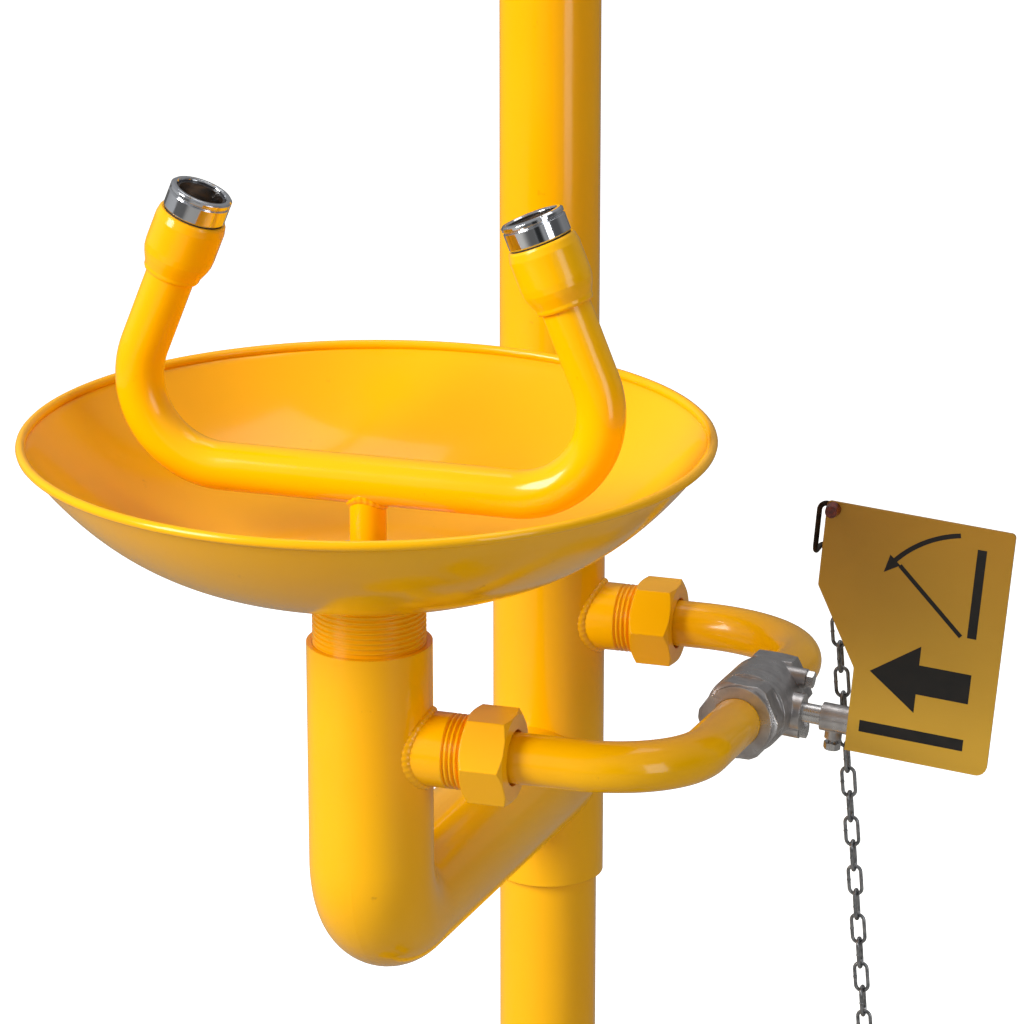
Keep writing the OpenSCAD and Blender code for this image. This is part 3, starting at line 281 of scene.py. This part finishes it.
def relief(tree, pattern, depth_mm, edge_mm=0.0, strength=1.0):
    """Bump from a pattern. edge_mm rounds the sharp edges of the solid underneath."""
    inputs = {"Height": pattern, "Distance": depth_mm * MM, "Strength": strength}
    if edge_mm:
        inputs["Normal"] = add_node(tree, "ShaderNodeBevel", {"Radius": edge_mm * MM}, samples=4).outputs[0]
    return add_node(tree, "ShaderNodeBump", inputs).outputs[0]


# %% [markdown]
# ### Epoxy powder coat
# The pipes are steel, sprayed with a yellow epoxy powder and baked. The powder melts into
# a thick glossy skin with a faint orange peel about 2 mm across. It softens every edge,
# lies a shade deeper where it is thick, and holds a few dust specks.

# %% Epoxy powder coat
def epoxy_powder_coat():
    material, tree, shader = new_material("epoxy_powder_coat")
    flow = grain(tree, 160, detail=3)
    body = blend_colour(tree, flow, linear("#FFB300"), linear("#FFBC00"))
    speck = grain(tree, 7, detail=4)
    dusty = blend_colour(tree, speck, body, linear("#E09A06"), 0.72, 0.80)
    peel = grain(tree, 2.2, detail=1)
    shader.inputs["IOR"].default_value = 1.5
    tree.links.new(dusty, shader.inputs["Base Color"])
    tree.links.new(between(tree, grain(tree, 45), 0.13, 0.21), shader.inputs["Roughness"])
    tree.links.new(relief(tree, peel, 0.02, edge_mm=0.9), shader.inputs["Normal"])
    shader.inputs["Coat Weight"].default_value = 0.15
    shader.inputs["Specular IOR Level"].default_value = 0.3
    shader.inputs["Coat Roughness"].default_value = 0.06
    return material


# %% [markdown]
# ### Stainless steel, cast and turned
# The valve bodies are investment castings in stainless steel. Blasting leaves a fine
# pitted skin, duller in the hollows. Stems, nuts and screws are turned from bar, so they
# are brighter and carry fine lines.

# %% Stainless steel
def cast_stainless():
    material, tree, shader = new_material("blasted_cast_stainless")
    skin = grain(tree, 0.55, detail=3)
    cloud = grain(tree, 9, detail=4)
    tree.links.new(blend_colour(tree, cloud, linear("#A9A6A6"), linear("#CFCCCB")),
                   shader.inputs["Base Color"])
    tree.links.new(between(tree, cloud, 0.42, 0.26), shader.inputs["Roughness"])
    tree.links.new(relief(tree, skin, 0.06, edge_mm=0.7), shader.inputs["Normal"])
    shader.inputs["Metallic"].default_value = 1.0
    return material


def turned_stainless():
    material, tree, shader = new_material("turned_stainless_bar")
    lines = grain(tree, 0.4, detail=2, stretch=(1, 0.12, 1))
    cloud = grain(tree, 12)
    tree.links.new(blend_colour(tree, cloud, linear("#B9B8B8"), linear("#D2D1D0")),
                   shader.inputs["Base Color"])
    tree.links.new(between(tree, lines, 0.18, 0.34), shader.inputs["Roughness"])
    tree.links.new(relief(tree, lines, 0.015, edge_mm=0.3), shader.inputs["Normal"])
    shader.inputs["Metallic"].default_value = 1.0
    return material


# %% [markdown]
# ### Chrome, zinc and black oxide
# The nozzle rings are brass with bright chrome plate, almost a mirror. The chain, clamp
# bolts and treadle bar are zinc plated: greyer, with the faint spangle of zinc crystals.
# The hook wire is blackened, which leaves a thin, uneven, slightly brown film.

# %% Plated metals
def bright_chrome():
    material, tree, shader = new_material("bright_chrome_plate")
    smear = grain(tree, 14, detail=5)
    shader.inputs["Base Color"].default_value = linear("#D3D6DB")
    tree.links.new(between(tree, smear, 0.03, 0.09), shader.inputs["Roughness"])
    tree.links.new(relief(tree, grain(tree, 6), 0.01, edge_mm=0.5), shader.inputs["Normal"])
    shader.inputs["Metallic"].default_value = 1.0
    return material


def zinc_plate():
    material, tree, shader = new_material("zinc_plated_steel")
    spangle = grain(tree, 2.5, kind="ShaderNodeTexVoronoi")
    cloud = grain(tree, 10, detail=4)
    crystal = blend_colour(tree, spangle, linear("#6E7073"), linear("#A2A3A5"), 0.1, 0.9)
    tree.links.new(crystal, shader.inputs["Base Color"])
    tree.links.new(between(tree, cloud, 0.28, 0.46), shader.inputs["Roughness"])
    tree.links.new(relief(tree, grain(tree, 0.8), 0.02, edge_mm=0.3), shader.inputs["Normal"])
    shader.inputs["Metallic"].default_value = 1.0
    return material


def black_oxide():
    material, tree, shader = new_material("black_oxide_wire")
    film = grain(tree, 4, detail=5)
    tree.links.new(blend_colour(tree, film, linear("#17120F"), linear("#43301F")),
                   shader.inputs["Base Color"])
    tree.links.new(between(tree, film, 0.32, 0.5), shader.inputs["Roughness"])
    tree.links.new(relief(tree, grain(tree, 0.7), 0.02), shader.inputs["Normal"])
    shader.inputs["Metallic"].default_value = 0.7
    return material


# %% [markdown]
# ### Rubber and plastics
# Gaskets are moulded EPDM rubber with a matt, slightly bloomed skin. Valve seats are
# waxy white PTFE. The discs in the nozzles are moulded in dark ABS, and the knob is a
# phenolic resin, brown-red, hard and glossy, with a faint swirl from the filler.

# %% Rubber and plastics
def moulded_polymer(name, first, second, swirl_mm, rough, bump_mm, ior):
    material, tree, shader = new_material(name)
    swirl = grain(tree, swirl_mm, detail=4)
    tree.links.new(blend_colour(tree, swirl, linear(first), linear(second)), shader.inputs["Base Color"])
    tree.links.new(between(tree, swirl, rough[0], rough[1]), shader.inputs["Roughness"])
    tree.links.new(relief(tree, grain(tree, 0.6), bump_mm, edge_mm=0.3), shader.inputs["Normal"])
    shader.inputs["IOR"].default_value = ior
    return material


# %% [markdown]
# ### The push plate
# The plate is thin aluminium sheet with a gold-yellow lacquer. Its colour is painted a
# little darker towards its top, a painted reflection. Rolling lines run along it, and the
# sign is screen printed in a flat black ink.

# %% Lacquered sheet and ink
def gold_lacquer(painted_reflection_low_z, painted_reflection_high_z):
    material, tree, shader = new_material("gold_lacquer_with_painted_reflection")
    # Painted reflection: the colour runs from a brighter gold low on the plate to a darker gold at its top.
    place = add_node(tree, "ShaderNodeTexCoord").outputs["Object"]
    height = add_node(tree, "ShaderNodeSeparateXYZ", {0: place}).outputs["Z"]
    cloud = add_node(tree, "ShaderNodeMath", {0: grain(tree, 40, detail=3), 1: 0.03}, operation="MULTIPLY")
    level = add_node(tree, "ShaderNodeMath", {0: height, 1: cloud.outputs[0]}, operation="ADD").outputs[0]
    colour = blend_colour(tree, level, linear("#F0BC3C"), linear("#C08A24"), painted_reflection_low_z, painted_reflection_high_z)
    rolled = grain(tree, 0.5, stretch=(0.05, 0.05, 1))
    tree.links.new(colour, shader.inputs["Base Color"])
    tree.links.new(between(tree, rolled, 0.30, 0.42), shader.inputs["Roughness"])
    tree.links.new(relief(tree, rolled, 0.01, edge_mm=0.3), shader.inputs["Normal"])
    shader.inputs["Metallic"].default_value = 0.35
    shader.inputs["Coat Weight"].default_value = 0.3
    shader.inputs["Coat Roughness"].default_value = 0.12
    return material


coat = epoxy_powder_coat()
cast = cast_stainless()
turned = turned_stainless()
chrome = bright_chrome()
zinc = zinc_plate()
oxide = black_oxide()
epdm = moulded_polymer("moulded_epdm_rubber", "#161616", "#262624", 5, (0.62, 0.8), 0.05, 1.5)
ptfe = moulded_polymer("skived_ptfe", "#E9E8E0", "#F3F2EC", 12, (0.35, 0.5), 0.01, 1.35)
abs_black = moulded_polymer("moulded_dark_abs", "#2B2A2E", "#3A393D", 8, (0.38, 0.5), 0.03, 1.53)
phenolic = moulded_polymer("phenolic_resin", "#4A1207", "#7A2A12", 2.5, (0.18, 0.3), 0.02, 1.6)
ink = moulded_polymer("screen_printed_ink", "#0E0C0A", "#191511", 6, (0.4, 0.55), 0.01, 1.5)
plate_low, plate_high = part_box("push_plate")
# These are the heights over which the plate's colour is painted darker towards its top, a painted reflection.
lacquer = gold_lacquer(plate_low.z + 0.03, plate_high.z + 0.01)
print("finishes:", sorted(m.name for m in bpy.data.materials if m.users or m.name))

# %% [markdown]
# ## Dressing the frame
# The frame's solids already have their true shapes, so most need only a finish. One table
# names the nodes of each finish. Whatever isn't in the table is a yellow coated pipe.

# %% Give each node its finish
FINISHES = {
    cast: ["valve_body", "valve_end_cap", "shower_valve_body", "shower_valve_cap", "lever_hub",
           "partition_plug"],
    turned: ["valve_bolts", "valve_stem", "hub_screw", "stem_nut", "rose_screws", "shower_stem",
             "shower_rose", "drain_strainer", "shower_lever", "pull_rod", "pull_handle"],
    chrome: ["left_ring", "right_ring", "valve_ball", "shower_ball", "bowl_drain"],
    zinc: ["clamp_bolts", "treadle_pin", "treadle_bar", "chain"],
    oxide: ["plate_hook"],
    epdm: ["bowl_gasket", "nozzle_seals", "union_gaskets"],
    ptfe: ["valve_seats"],
    abs_black: ["left_spray", "right_spray"],
    phenolic: ["hook_knob"],
    lacquer: ["push_plate"],
}


def dress(nodes, finishes, default):
    chosen = {node: material for material, names in finishes.items() for node in names}
    for name, piece in nodes.items():
        piece.data.materials.clear()
        piece.data.materials.append(chosen.get(name, default))
    return len(nodes) - len(chosen)


print("nodes left in powder coat:", dress(frame["nodes"], FINISHES, coat))

# %% [markdown]
# ## Growing the small parts
# The welds, the spray screens, the rubber nubs and the bowl all repeat or follow a rule,
# so they are grown with Geometry Nodes. Each tree is built by script with named inputs.
# `grow` sets the inputs, evaluates the tree once and keeps the plain mesh, so nothing is
# left to evaluate when the pieces are handed to their bodies.

# %% Helpers that grow a piece
def new_tree(title, inputs):
    tree = bpy.data.node_groups.new(title, "GeometryNodeTree")
    tree.interface.new_socket("Geometry", in_out="INPUT", socket_type="NodeSocketGeometry")
    for name, kind in [*inputs, ("Material", "Material")]:
        tree.interface.new_socket(name, in_out="INPUT", socket_type="NodeSocket" + kind)
    tree.interface.new_socket("Geometry", in_out="OUTPUT", socket_type="NodeSocketGeometry")
    return tree, add_node(tree, "NodeGroupInput").outputs


def close_tree(tree, given, geometry):
    real = add_node(tree, "GeometryNodeRealizeInstances", {0: geometry})
    dressed = add_node(tree, "GeometryNodeSetMaterial", {"Geometry": real.outputs[0],
                                                         "Material": given["Material"]})
    add_node(tree, "NodeGroupOutput", {0: dressed.outputs[0]})
    return tree


def grow(name, tree, values, points=()):
    """Evaluates the tree on a seed mesh of loose points and returns a plain mesh object."""
    seed_mesh = bpy.data.meshes.new(name + "_seed")
    seed_mesh.from_pydata([tuple(p) for p in points], [], [])
    seed = bpy.data.objects.new(name + "_seed", seed_mesh)
    bpy.context.scene.collection.objects.link(seed)
    modifier = seed.modifiers.new("grow", "NODES")
    modifier.node_group = tree
    for socket in tree.interface.items_tree:
        if socket.in_out == "INPUT" and socket.name in values:
            modifier[socket.identifier] = values[socket.name]
    seen = seed.evaluated_get(bpy.context.evaluated_depsgraph_get())
    mesh = bpy.data.meshes.new_from_object(seen)
    bpy.data.objects.remove(seed)
    mesh.name = name
    mesh.shade_smooth()
    piece = bpy.data.objects.new(name, mesh)
    bpy.context.scene.collection.objects.link(piece)
    print(name, "has", len(mesh.polygons), "faces")
    return piece


def sine_of(tree, value):
    return add_node(tree, "ShaderNodeMath", {0: value}, operation="SINE").outputs[0]


def times(tree, first, second):
    return add_node(tree, "ShaderNodeMath", {0: first, 1: second}, operation="MULTIPLY").outputs[0]


# %% [markdown]
# ### Weld beads under the paint
# Wherever a neck or a pipe meets a larger one it is welded round. The bead is laid in
# overlapping puddles, and powder coat rounds them but does not hide them. The tree
# sweeps a small circle round a ring and swells it by a sine of the angle.

# %% The bead tree
def bead_tree():
    tree, given = new_tree("welded_ring", [("Radius", "Float"), ("Thickness", "Float"), ("Puddles", "Float"),
                                           ("Saddle", "Float"), ("Place", "Vector"), ("Turn", "Vector")])
    ring = add_node(tree, "GeometryNodeCurvePrimitiveCircle", {"Resolution": 160, "Radius": given["Radius"]})
    section = add_node(tree, "GeometryNodeCurvePrimitiveCircle", {"Resolution": 12,
                                                                  "Radius": given["Thickness"]})
    swept = add_node(tree, "GeometryNodeCurveToMesh", {"Curve": ring.outputs[0],
                                                       "Profile Curve": section.outputs[0]})
    where = add_node(tree, "ShaderNodeSeparateXYZ", {0: add_node(tree,
                                                                 "GeometryNodeInputPosition").outputs[0]})
    angle = add_node(tree, "ShaderNodeMath", {0: where.outputs["Y"], 1: where.outputs["X"]},
                     operation="ARCTAN2")
    wave = sine_of(tree, times(tree, angle.outputs[0], given["Puddles"]))
    swell = times(tree, wave, times(tree, given["Thickness"], 0.10))
    normal = add_node(tree, "GeometryNodeInputNormal").outputs[0]
    push = add_node(tree, "ShaderNodeVectorMath", {0: normal, "Scale": swell}, operation="SCALE")
    across = times(tree, where.outputs["Y"], where.outputs["Y"])
    left = add_node(tree, "ShaderNodeMath", {0: times(tree, given["Saddle"], given["Saddle"]), 1: across},
                    operation="SUBTRACT")
    safe = add_node(tree, "ShaderNodeMath", {0: left.outputs[0], 1: 0.0}, operation="MAXIMUM")
    lift = add_node(tree, "ShaderNodeMath", {0: safe.outputs[0]}, operation="SQRT")
    saddle = add_node(tree, "ShaderNodeCombineXYZ", {"Z": lift.outputs[0]})
    move = add_node(tree, "ShaderNodeVectorMath", {0: push.outputs[0], 1: saddle.outputs[0]}, operation="ADD")
    rippled = add_node(tree, "GeometryNodeSetPosition", {"Geometry": swept.outputs[0],
                                                         "Offset": move.outputs[0]})
    placed = add_node(tree, "GeometryNodeTransform", {"Geometry": rippled.outputs[0],
                                                      "Translation": given["Place"],
                                                      "Rotation": given["Turn"]})
    return close_tree(tree, given, placed.outputs[0])


beads = bead_tree()


def bead(name, radius_mm, thick_mm, place, turn=(0, 0, 0), saddle_mm=0.0, puddles=38):
    values = {"Radius": radius_mm * MM, "Thickness": thick_mm * MM, "Saddle": saddle_mm * MM,
              "Puddles": float(puddles), "Place": place, "Turn": turn, "Material": coat}
    piece = grow(name, beads, values)
    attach(piece, "stand")
    return piece


front_z = middle("front_union_nut").z
rear_z = middle("rear_union_nut").z
sleeve_radius = -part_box("sleeve")[0].x / MM
leg_radius = -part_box("drain_leg")[0].x / MM
neck_radius = 16.6
quarter = math.pi / 2
bead("front_neck_weld", neck_radius, 1.8, (0, bowl_axis.y, front_z), (0, quarter, 0), leg_radius)
bead("rear_neck_weld", neck_radius, 1.8, (0, 0, rear_z), (0, quarter, 0), sleeve_radius)
bead("hub_weld", pipe_radius / MM + 0.6, 1.8, (0, 0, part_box("floor_flange")[1].z), puddles=50)
riser_radius = extent("riser_pipe").y / 2 / MM
yoke_radius = extent("yoke_pipe").y / 2 / MM
yoke_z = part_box("yoke_pipe")[0].z + yoke_radius * MM
bead("yoke_weld", riser_radius, 1.5, (0, bowl_axis.y, yoke_z), (math.pi, 0, 0), yoke_radius, puddles=20)

# %% [markdown]
# ### The bowl
# The bowl is spun from sheet, so its whole shape is one curve turned round an axis. The
# curve rises as a power of the radius: nearly flat over the drain, steep at the rim. The
# tree bends a flat grid into that shell, one side of the sheet out and the other back,
# and merges the seam. A second ring makes the rolled rim.

# %% The bowl tree
def bowl_tree():
    tree, given = new_tree("spun_bowl", [("Hole", "Float"), ("Rim", "Float"), ("Bottom", "Float"),
                                         ("Rise", "Float"), ("Power", "Float"), ("Sheet", "Float"),
                                         ("Place", "Vector")])

    def calc(operation, first, second=0.0):
        return add_node(tree, "ShaderNodeMath", {0: first, 1: second}, operation=operation).outputs[0]

    sheet = add_node(tree, "GeometryNodeMeshGrid", {"Size X": 1.0, "Size Y": 1.0, "Vertices X": 121,
                                                    "Vertices Y": 257})
    where = add_node(tree, "ShaderNodeSeparateXYZ", {0: add_node(tree,
                                                                 "GeometryNodeInputPosition").outputs[0]})
    along = calc("ADD", where.outputs["X"], 0.5)
    turn = calc("MULTIPLY", calc("ADD", where.outputs["Y"], 0.5), 2 * math.pi)
    share = calc("SUBTRACT", 1.0, calc("ABSOLUTE", calc("SUBTRACT", calc("MULTIPLY", along, 2.0), 1.0)))
    radius = calc("ADD", given["Hole"], calc("MULTIPLY", share, calc("SUBTRACT", given["Rim"],
                                                                     given["Hole"])))
    inside = calc("MULTIPLY", calc("GREATER_THAN", along, 0.501), calc("LESS_THAN", along, 0.9995))
    curve = calc("POWER", calc("DIVIDE", radius, given["Rim"]), given["Power"])
    height = calc("ADD", calc("ADD", given["Bottom"], calc("MULTIPLY", given["Rise"], curve)),
                  calc("MULTIPLY", inside, given["Sheet"]))
    spot = add_node(tree, "ShaderNodeCombineXYZ", {"X": calc("MULTIPLY", radius, calc("COSINE", turn)),
                                                   "Y": calc("MULTIPLY", radius, calc("SINE",
                                                                                      turn)), "Z": height})
    bent = add_node(tree, "GeometryNodeSetPosition", {"Geometry": sheet.outputs[0],
                                                      "Position": spot.outputs[0]})
    closed = add_node(tree, "GeometryNodeMergeByDistance", {"Geometry": bent.outputs[0], "Distance": 0.00001})
    placed = add_node(tree, "GeometryNodeTransform", {"Geometry": closed.outputs[0],
                                                      "Translation": given["Place"]})
    return close_tree(tree, given, placed.outputs[0])


def face_outward(mesh):
    """Turns the faces round if the closed mesh encloses a negative volume."""
    edit = bmesh.new()
    edit.from_mesh(mesh)
    if edit.calc_volume(signed=True) < 0:
        bmesh.ops.reverse_faces(edit, faces=edit.faces[:])
        edit.to_mesh(mesh)
    open_edges = sum(1 for edge in edit.edges if len(edge.link_faces) != 2)
    edit.free()
    return open_edges


bowl_low, bowl_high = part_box("bowl")
hole_mm = 22
curve_power = 3.4
bead_mm = 4.4
sheet_mm = 1.6
rim_mm = (bowl_high.x - bowl_low.x) / 2 / MM - bead_mm / 2
rise_mm = (bowl_high.z - bowl_low.z) / MM - bead_mm / 2 - sheet_mm / 2
spun = grow("spun_bowl", bowl_tree(), {"Hole": hole_mm * MM, "Rim": rim_mm * MM, "Bottom": bowl_low.z,
                                       "Rise": rise_mm * MM, "Power": curve_power, "Sheet": sheet_mm * MM,
                                       "Place": (bowl_axis.x, bowl_axis.y, 0), "Material": coat})
print("open edges in the bowl:", face_outward(spun.data))
rolled = grow("rolled_rim", beads, {"Radius": rim_mm * MM, "Thickness": bead_mm / 2 * MM, "Puddles": 0.0,
                                    "Saddle": 0.0, "Turn": (0, 0, 0), "Material": coat,
                                    "Place": (bowl_axis.x, bowl_axis.y, bowl_high.z - bead_mm / 2 * MM)})
for piece in (spun, rolled):
    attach(piece, "stand")
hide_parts("bowl")

# %% [markdown]
# ### Screens and nubs
# Two small things repeat over a set of points: the wires of the spray screens, and the
# rubber nubs that let the shower rose be rubbed clean of lime. The screen tree scales each wire to the chord at its place. The other
# tree puts one small ring or bead on every point it is given.

# %% The screen tree
def screen_tree():
    tree, given = new_tree("wire_screen", [("Radius", "Float"), ("Wire", "Float"), ("Place", "Vector"),
                                           ("Turn", "Vector")])
    wire = add_node(tree, "GeometryNodeMeshCylinder", {"Vertices": 6, "Radius": given["Wire"], "Depth": 2.0})
    where = add_node(tree, "ShaderNodeSeparateXYZ", {0: add_node(tree,
                                                                 "GeometryNodeInputPosition").outputs[0]})
    gap = add_node(tree, "ShaderNodeMath", {0: times(tree, given["Radius"], given["Radius"]),
                                            1: times(tree, where.outputs["X"], where.outputs["X"])},
                   operation="SUBTRACT")
    chord = add_node(tree, "ShaderNodeMath", {0: gap.outputs[0]}, operation="SQRT")
    size = add_node(tree, "ShaderNodeCombineXYZ", {"X": 1.0, "Y": 1.0, "Z": chord.outputs[0]})
    lay = add_node(tree, "GeometryNodeInstanceOnPoints", {"Points": given["Geometry"],
                                                          "Instance": wire.outputs[0],
                                                          "Rotation": (quarter, 0,
                                                                       0), "Scale": size.outputs[0]})
    across = add_node(tree, "GeometryNodeTransform", {"Geometry": lay.outputs[0], "Rotation": (0, 0, quarter),
                                                      "Translation": (0, 0, 0.0002)})
    both = add_node(tree, "GeometryNodeJoinGeometry")
    tree.links.new(lay.outputs[0], both.inputs[0])
    tree.links.new(across.outputs[0], both.inputs[0])
    placed = add_node(tree, "GeometryNodeTransform", {"Geometry": both.outputs[0],
                                                      "Translation": given["Place"],
                                                      "Rotation": given["Turn"]})
    return close_tree(tree, given, placed.outputs[0])


# %% A screen in each nozzle
def spray_frame(node):
    """Middle of the top face of a spray disc and the lean of its axis about Y."""
    mesh = frame["nodes"][node].data
    face = max(mesh.polygons, key=lambda p: p.area if p.normal.z > 0.8 else 0)
    axis = face.normal.copy()
    centre = middle(node)
    top = max(Vector(v.co).dot(axis) for v in mesh.vertices)
    return centre + axis * (top - centre.dot(axis)), math.atan2(axis.x, axis.z)


screens = screen_tree()
pitch_mm = 0.8
for side in ("left", "right"):
    top, lean = spray_frame(side + "_spray")
    radius = extent(side + "_spray").y / 2 - 0.0012
    count = int(radius / (pitch_mm * MM))
    row = [(k * pitch_mm * MM, 0, 0) for k in range(-count, count + 1)]
    screen = grow(side + "_screen", screens, {"Radius": radius, "Wire": 0.15 * MM, "Place": top,
                                              "Turn": (0, lean, 0), "Material": oxide}, row)
    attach(screen, "stand")
    print(side, "lean", round(math.degrees(lean), 1))


# %% Rings and beads on points
def dotted_tree():
    tree, given = new_tree("dotted", [("Radius", "Float"), ("Thickness", "Float"), ("Stretch", "Vector")])
    ring = add_node(tree, "GeometryNodeCurvePrimitiveCircle", {"Resolution": 16, "Radius": given["Radius"]})
    section = add_node(tree, "GeometryNodeCurvePrimitiveCircle", {"Resolution": 8,
                                                                  "Radius": given["Thickness"]})
    dot = add_node(tree, "GeometryNodeCurveToMesh", {"Curve": ring.outputs[0],
                                                     "Profile Curve": section.outputs[0]})
    spread = add_node(tree, "GeometryNodeInstanceOnPoints", {"Points": given["Geometry"],
                                                             "Instance": dot.outputs[0],
                                                             "Scale": given["Stretch"]})
    return close_tree(tree, given, spread.outputs[0])


dots = dotted_tree()
rose_axis = middle("shower_rose")
rose_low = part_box("shower_rose")[0].z
spots = [rose_axis + Vector((k * 0.019 * math.cos(a), k * 0.019 * math.sin(a), 0))
         for k in range(1, 6) for a in [2 * math.pi * i / (6 * k) for i in range(6 * k)]]
for spot in spots:
    spot.z = rose_low
nubs = grow("rose_nubs", dots, {"Radius": 1.25 * MM, "Thickness": 0.45 * MM, "Stretch": (1, 1, 3),
                                "Material": epdm}, spots)
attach(nubs, "stand")

# %% [markdown]
# ### The weld on each chain link
# A link is bent from wire and closed by a butt weld in the middle of one straight side,
# which leaves a small collar. The links are found as the separate islands of the chain's
# mesh. The second longest direction of an island points from its middle to that side.

# %% Link welds
def islands(mesh):
    """The vertex positions of each separate piece of a mesh, as arrays."""
    edit = bmesh.new()
    edit.from_mesh(mesh)
    bmesh.ops.remove_doubles(edit, verts=edit.verts[:], dist=0.00001)
    waiting = set(edit.verts)
    found = []
    while waiting:
        edge_of = [waiting.pop()]
        island = []
        while edge_of:
            vert = edge_of.pop()
            island.append(tuple(vert.co))
            for edge in vert.link_edges:
                other = edge.other_vert(vert)
                if other in waiting:
                    waiting.remove(other)
                    edge_of.append(other)
        found.append(numpy.array(island))
    edit.free()
    return found


def weld_spot(island, wire_radius):
    centre = (island.max(axis=0) + island.min(axis=0)) / 2
    level, ways = numpy.linalg.eigh(numpy.cov((island - centre).T))
    side = ways[:, 1]
    reach = numpy.abs((island - centre) @ side).max()
    return centre + side * (reach - wire_radius)


wire_radius_mm = 0.85
links = sorted(islands(frame["nodes"]["chain"].data), key=lambda island: -island[:, 2].mean())[:-1]
welds = grow("link_welds", dots, {"Radius": 0.6 * MM, "Thickness": 0.45 * MM, "Stretch": (1, 1, 1.4),
                                  "Material": zinc}, [weld_spot(island, wire_radius_mm * MM) for island in links])
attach(welds, "chain")
print(len(links), "links welded")

# %% [markdown]
# ### The sign on the push plate
# The plate tells a person to push it. The sign is drawn for this part and has no
# lettering: a hinged flap seen from its edge in two positions, a curved arrow over it for
# the way it swings, and a bold straight arrow below. Each shape is a thin layer of ink.

# %% The plane of the plate
plate_mesh = frame["nodes"]["push_plate"].data
front = max((p for p in plate_mesh.polygons if p.normal.y < -0.9), key=lambda p: p.area)
plate_normal = front.normal.copy()
swing_axis = -Vector(joint("push_lever_turn")["axis"])
swing_up = plate_normal.cross(swing_axis).normalized()
if swing_up.z < 0:
    swing_up = -swing_up
swing_axis = swing_axis.normalized()
flats = [(v.co.dot(swing_axis), v.co.dot(swing_up)) for v in plate_mesh.vertices]
plate_x = (min(x for x, _ in flats), max(x for x, _ in flats))
plate_z = (min(z for _, z in flats), max(z for _, z in flats))
plate_face = front.center.dot(plate_normal)
print("plate is", round((plate_x[1] - plate_x[0]) / MM, 1), "by", round((plate_z[1] - plate_z[0]) / MM, 1),
      "mm")


def on_plate(right_mm, up_mm, lift_mm=0.0):
    """A point measured from the plate's lower right corner, lift_mm in front of it."""
    flat_x = plate_x[1] - right_mm * MM
    flat_z = plate_z[0] + up_mm * MM
    return swing_axis * flat_x + swing_up * flat_z + plate_normal * (plate_face + lift_mm * MM)


# %% Ink shapes
def ink_shape(name, outline):
    """A closed layer of ink 0.08 mm thick with this outline of (left, up) points."""
    under = [on_plate(x, z, -0.02) for x, z in outline]
    over = [on_plate(x, z, 0.06) for x, z in outline]
    count = len(outline)
    faces = [tuple(range(count)), tuple(range(2 * count - 1, count - 1, -1))]
    faces += [(i, i + count, (i + 1) % count + count, (i + 1) % count) for i in range(count)]
    mesh = bpy.data.meshes.new(name)
    mesh.from_pydata([tuple(p) for p in under + over], [], faces)
    face_outward(mesh)
    mesh.materials.append(ink)
    piece = bpy.data.objects.new(name, mesh)
    bpy.context.scene.collection.objects.link(piece)
    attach(piece, "push_lever")
    return piece


def arc_arrow(centre, radius, start, end, width, head):
    """Outline of a curved arrow, in mm and degrees, with its head at the end angle."""
    def spot(distance, degrees):
        turn = math.radians(degrees)
        return centre[0] + distance * math.cos(turn), centre[1] + distance * math.sin(turn)

    steps = [start + (end - start) * i / 20 for i in range(21)]
    tip = end + math.copysign(math.degrees(head / radius), end - start)
    outer = [spot(radius + width / 2, a) for a in steps]
    inner = [spot(radius - width / 2, a) for a in reversed(steps)]
    return outer + [spot(radius + width * 1.5, end), spot(radius, tip), spot(radius - width * 1.5,
                                                                             end)] + inner


def bar(start, end, width):
    along = Vector((end[0] - start[0], end[1] - start[1])).normalized()
    side = Vector((-along.y, along.x)) * width / 2
    return [(start[0] + side.x, start[1] + side.y), (end[0] + side.x, end[1] + side.y),
            (end[0] - side.x, end[1] - side.y), (start[0] - side.x, start[1] - side.y)]


ink_shape("sign_flap_rest", bar((14, 64), (14, 106), 4.2))
ink_shape("sign_flap_pushed", bar((19, 64), (50, 92), 2.0))
ink_shape("sign_swing_arrow", arc_arrow((14, 62), 50, 78, 40, 2.2, 8))
ink_shape("sign_push_arrow", [(12, 33), (36, 33), (36, 24), (58, 40), (36, 56), (36, 47), (12, 47)])
ink_shape("sign_foot_bar", bar((12, 13), (60, 13), 5.5))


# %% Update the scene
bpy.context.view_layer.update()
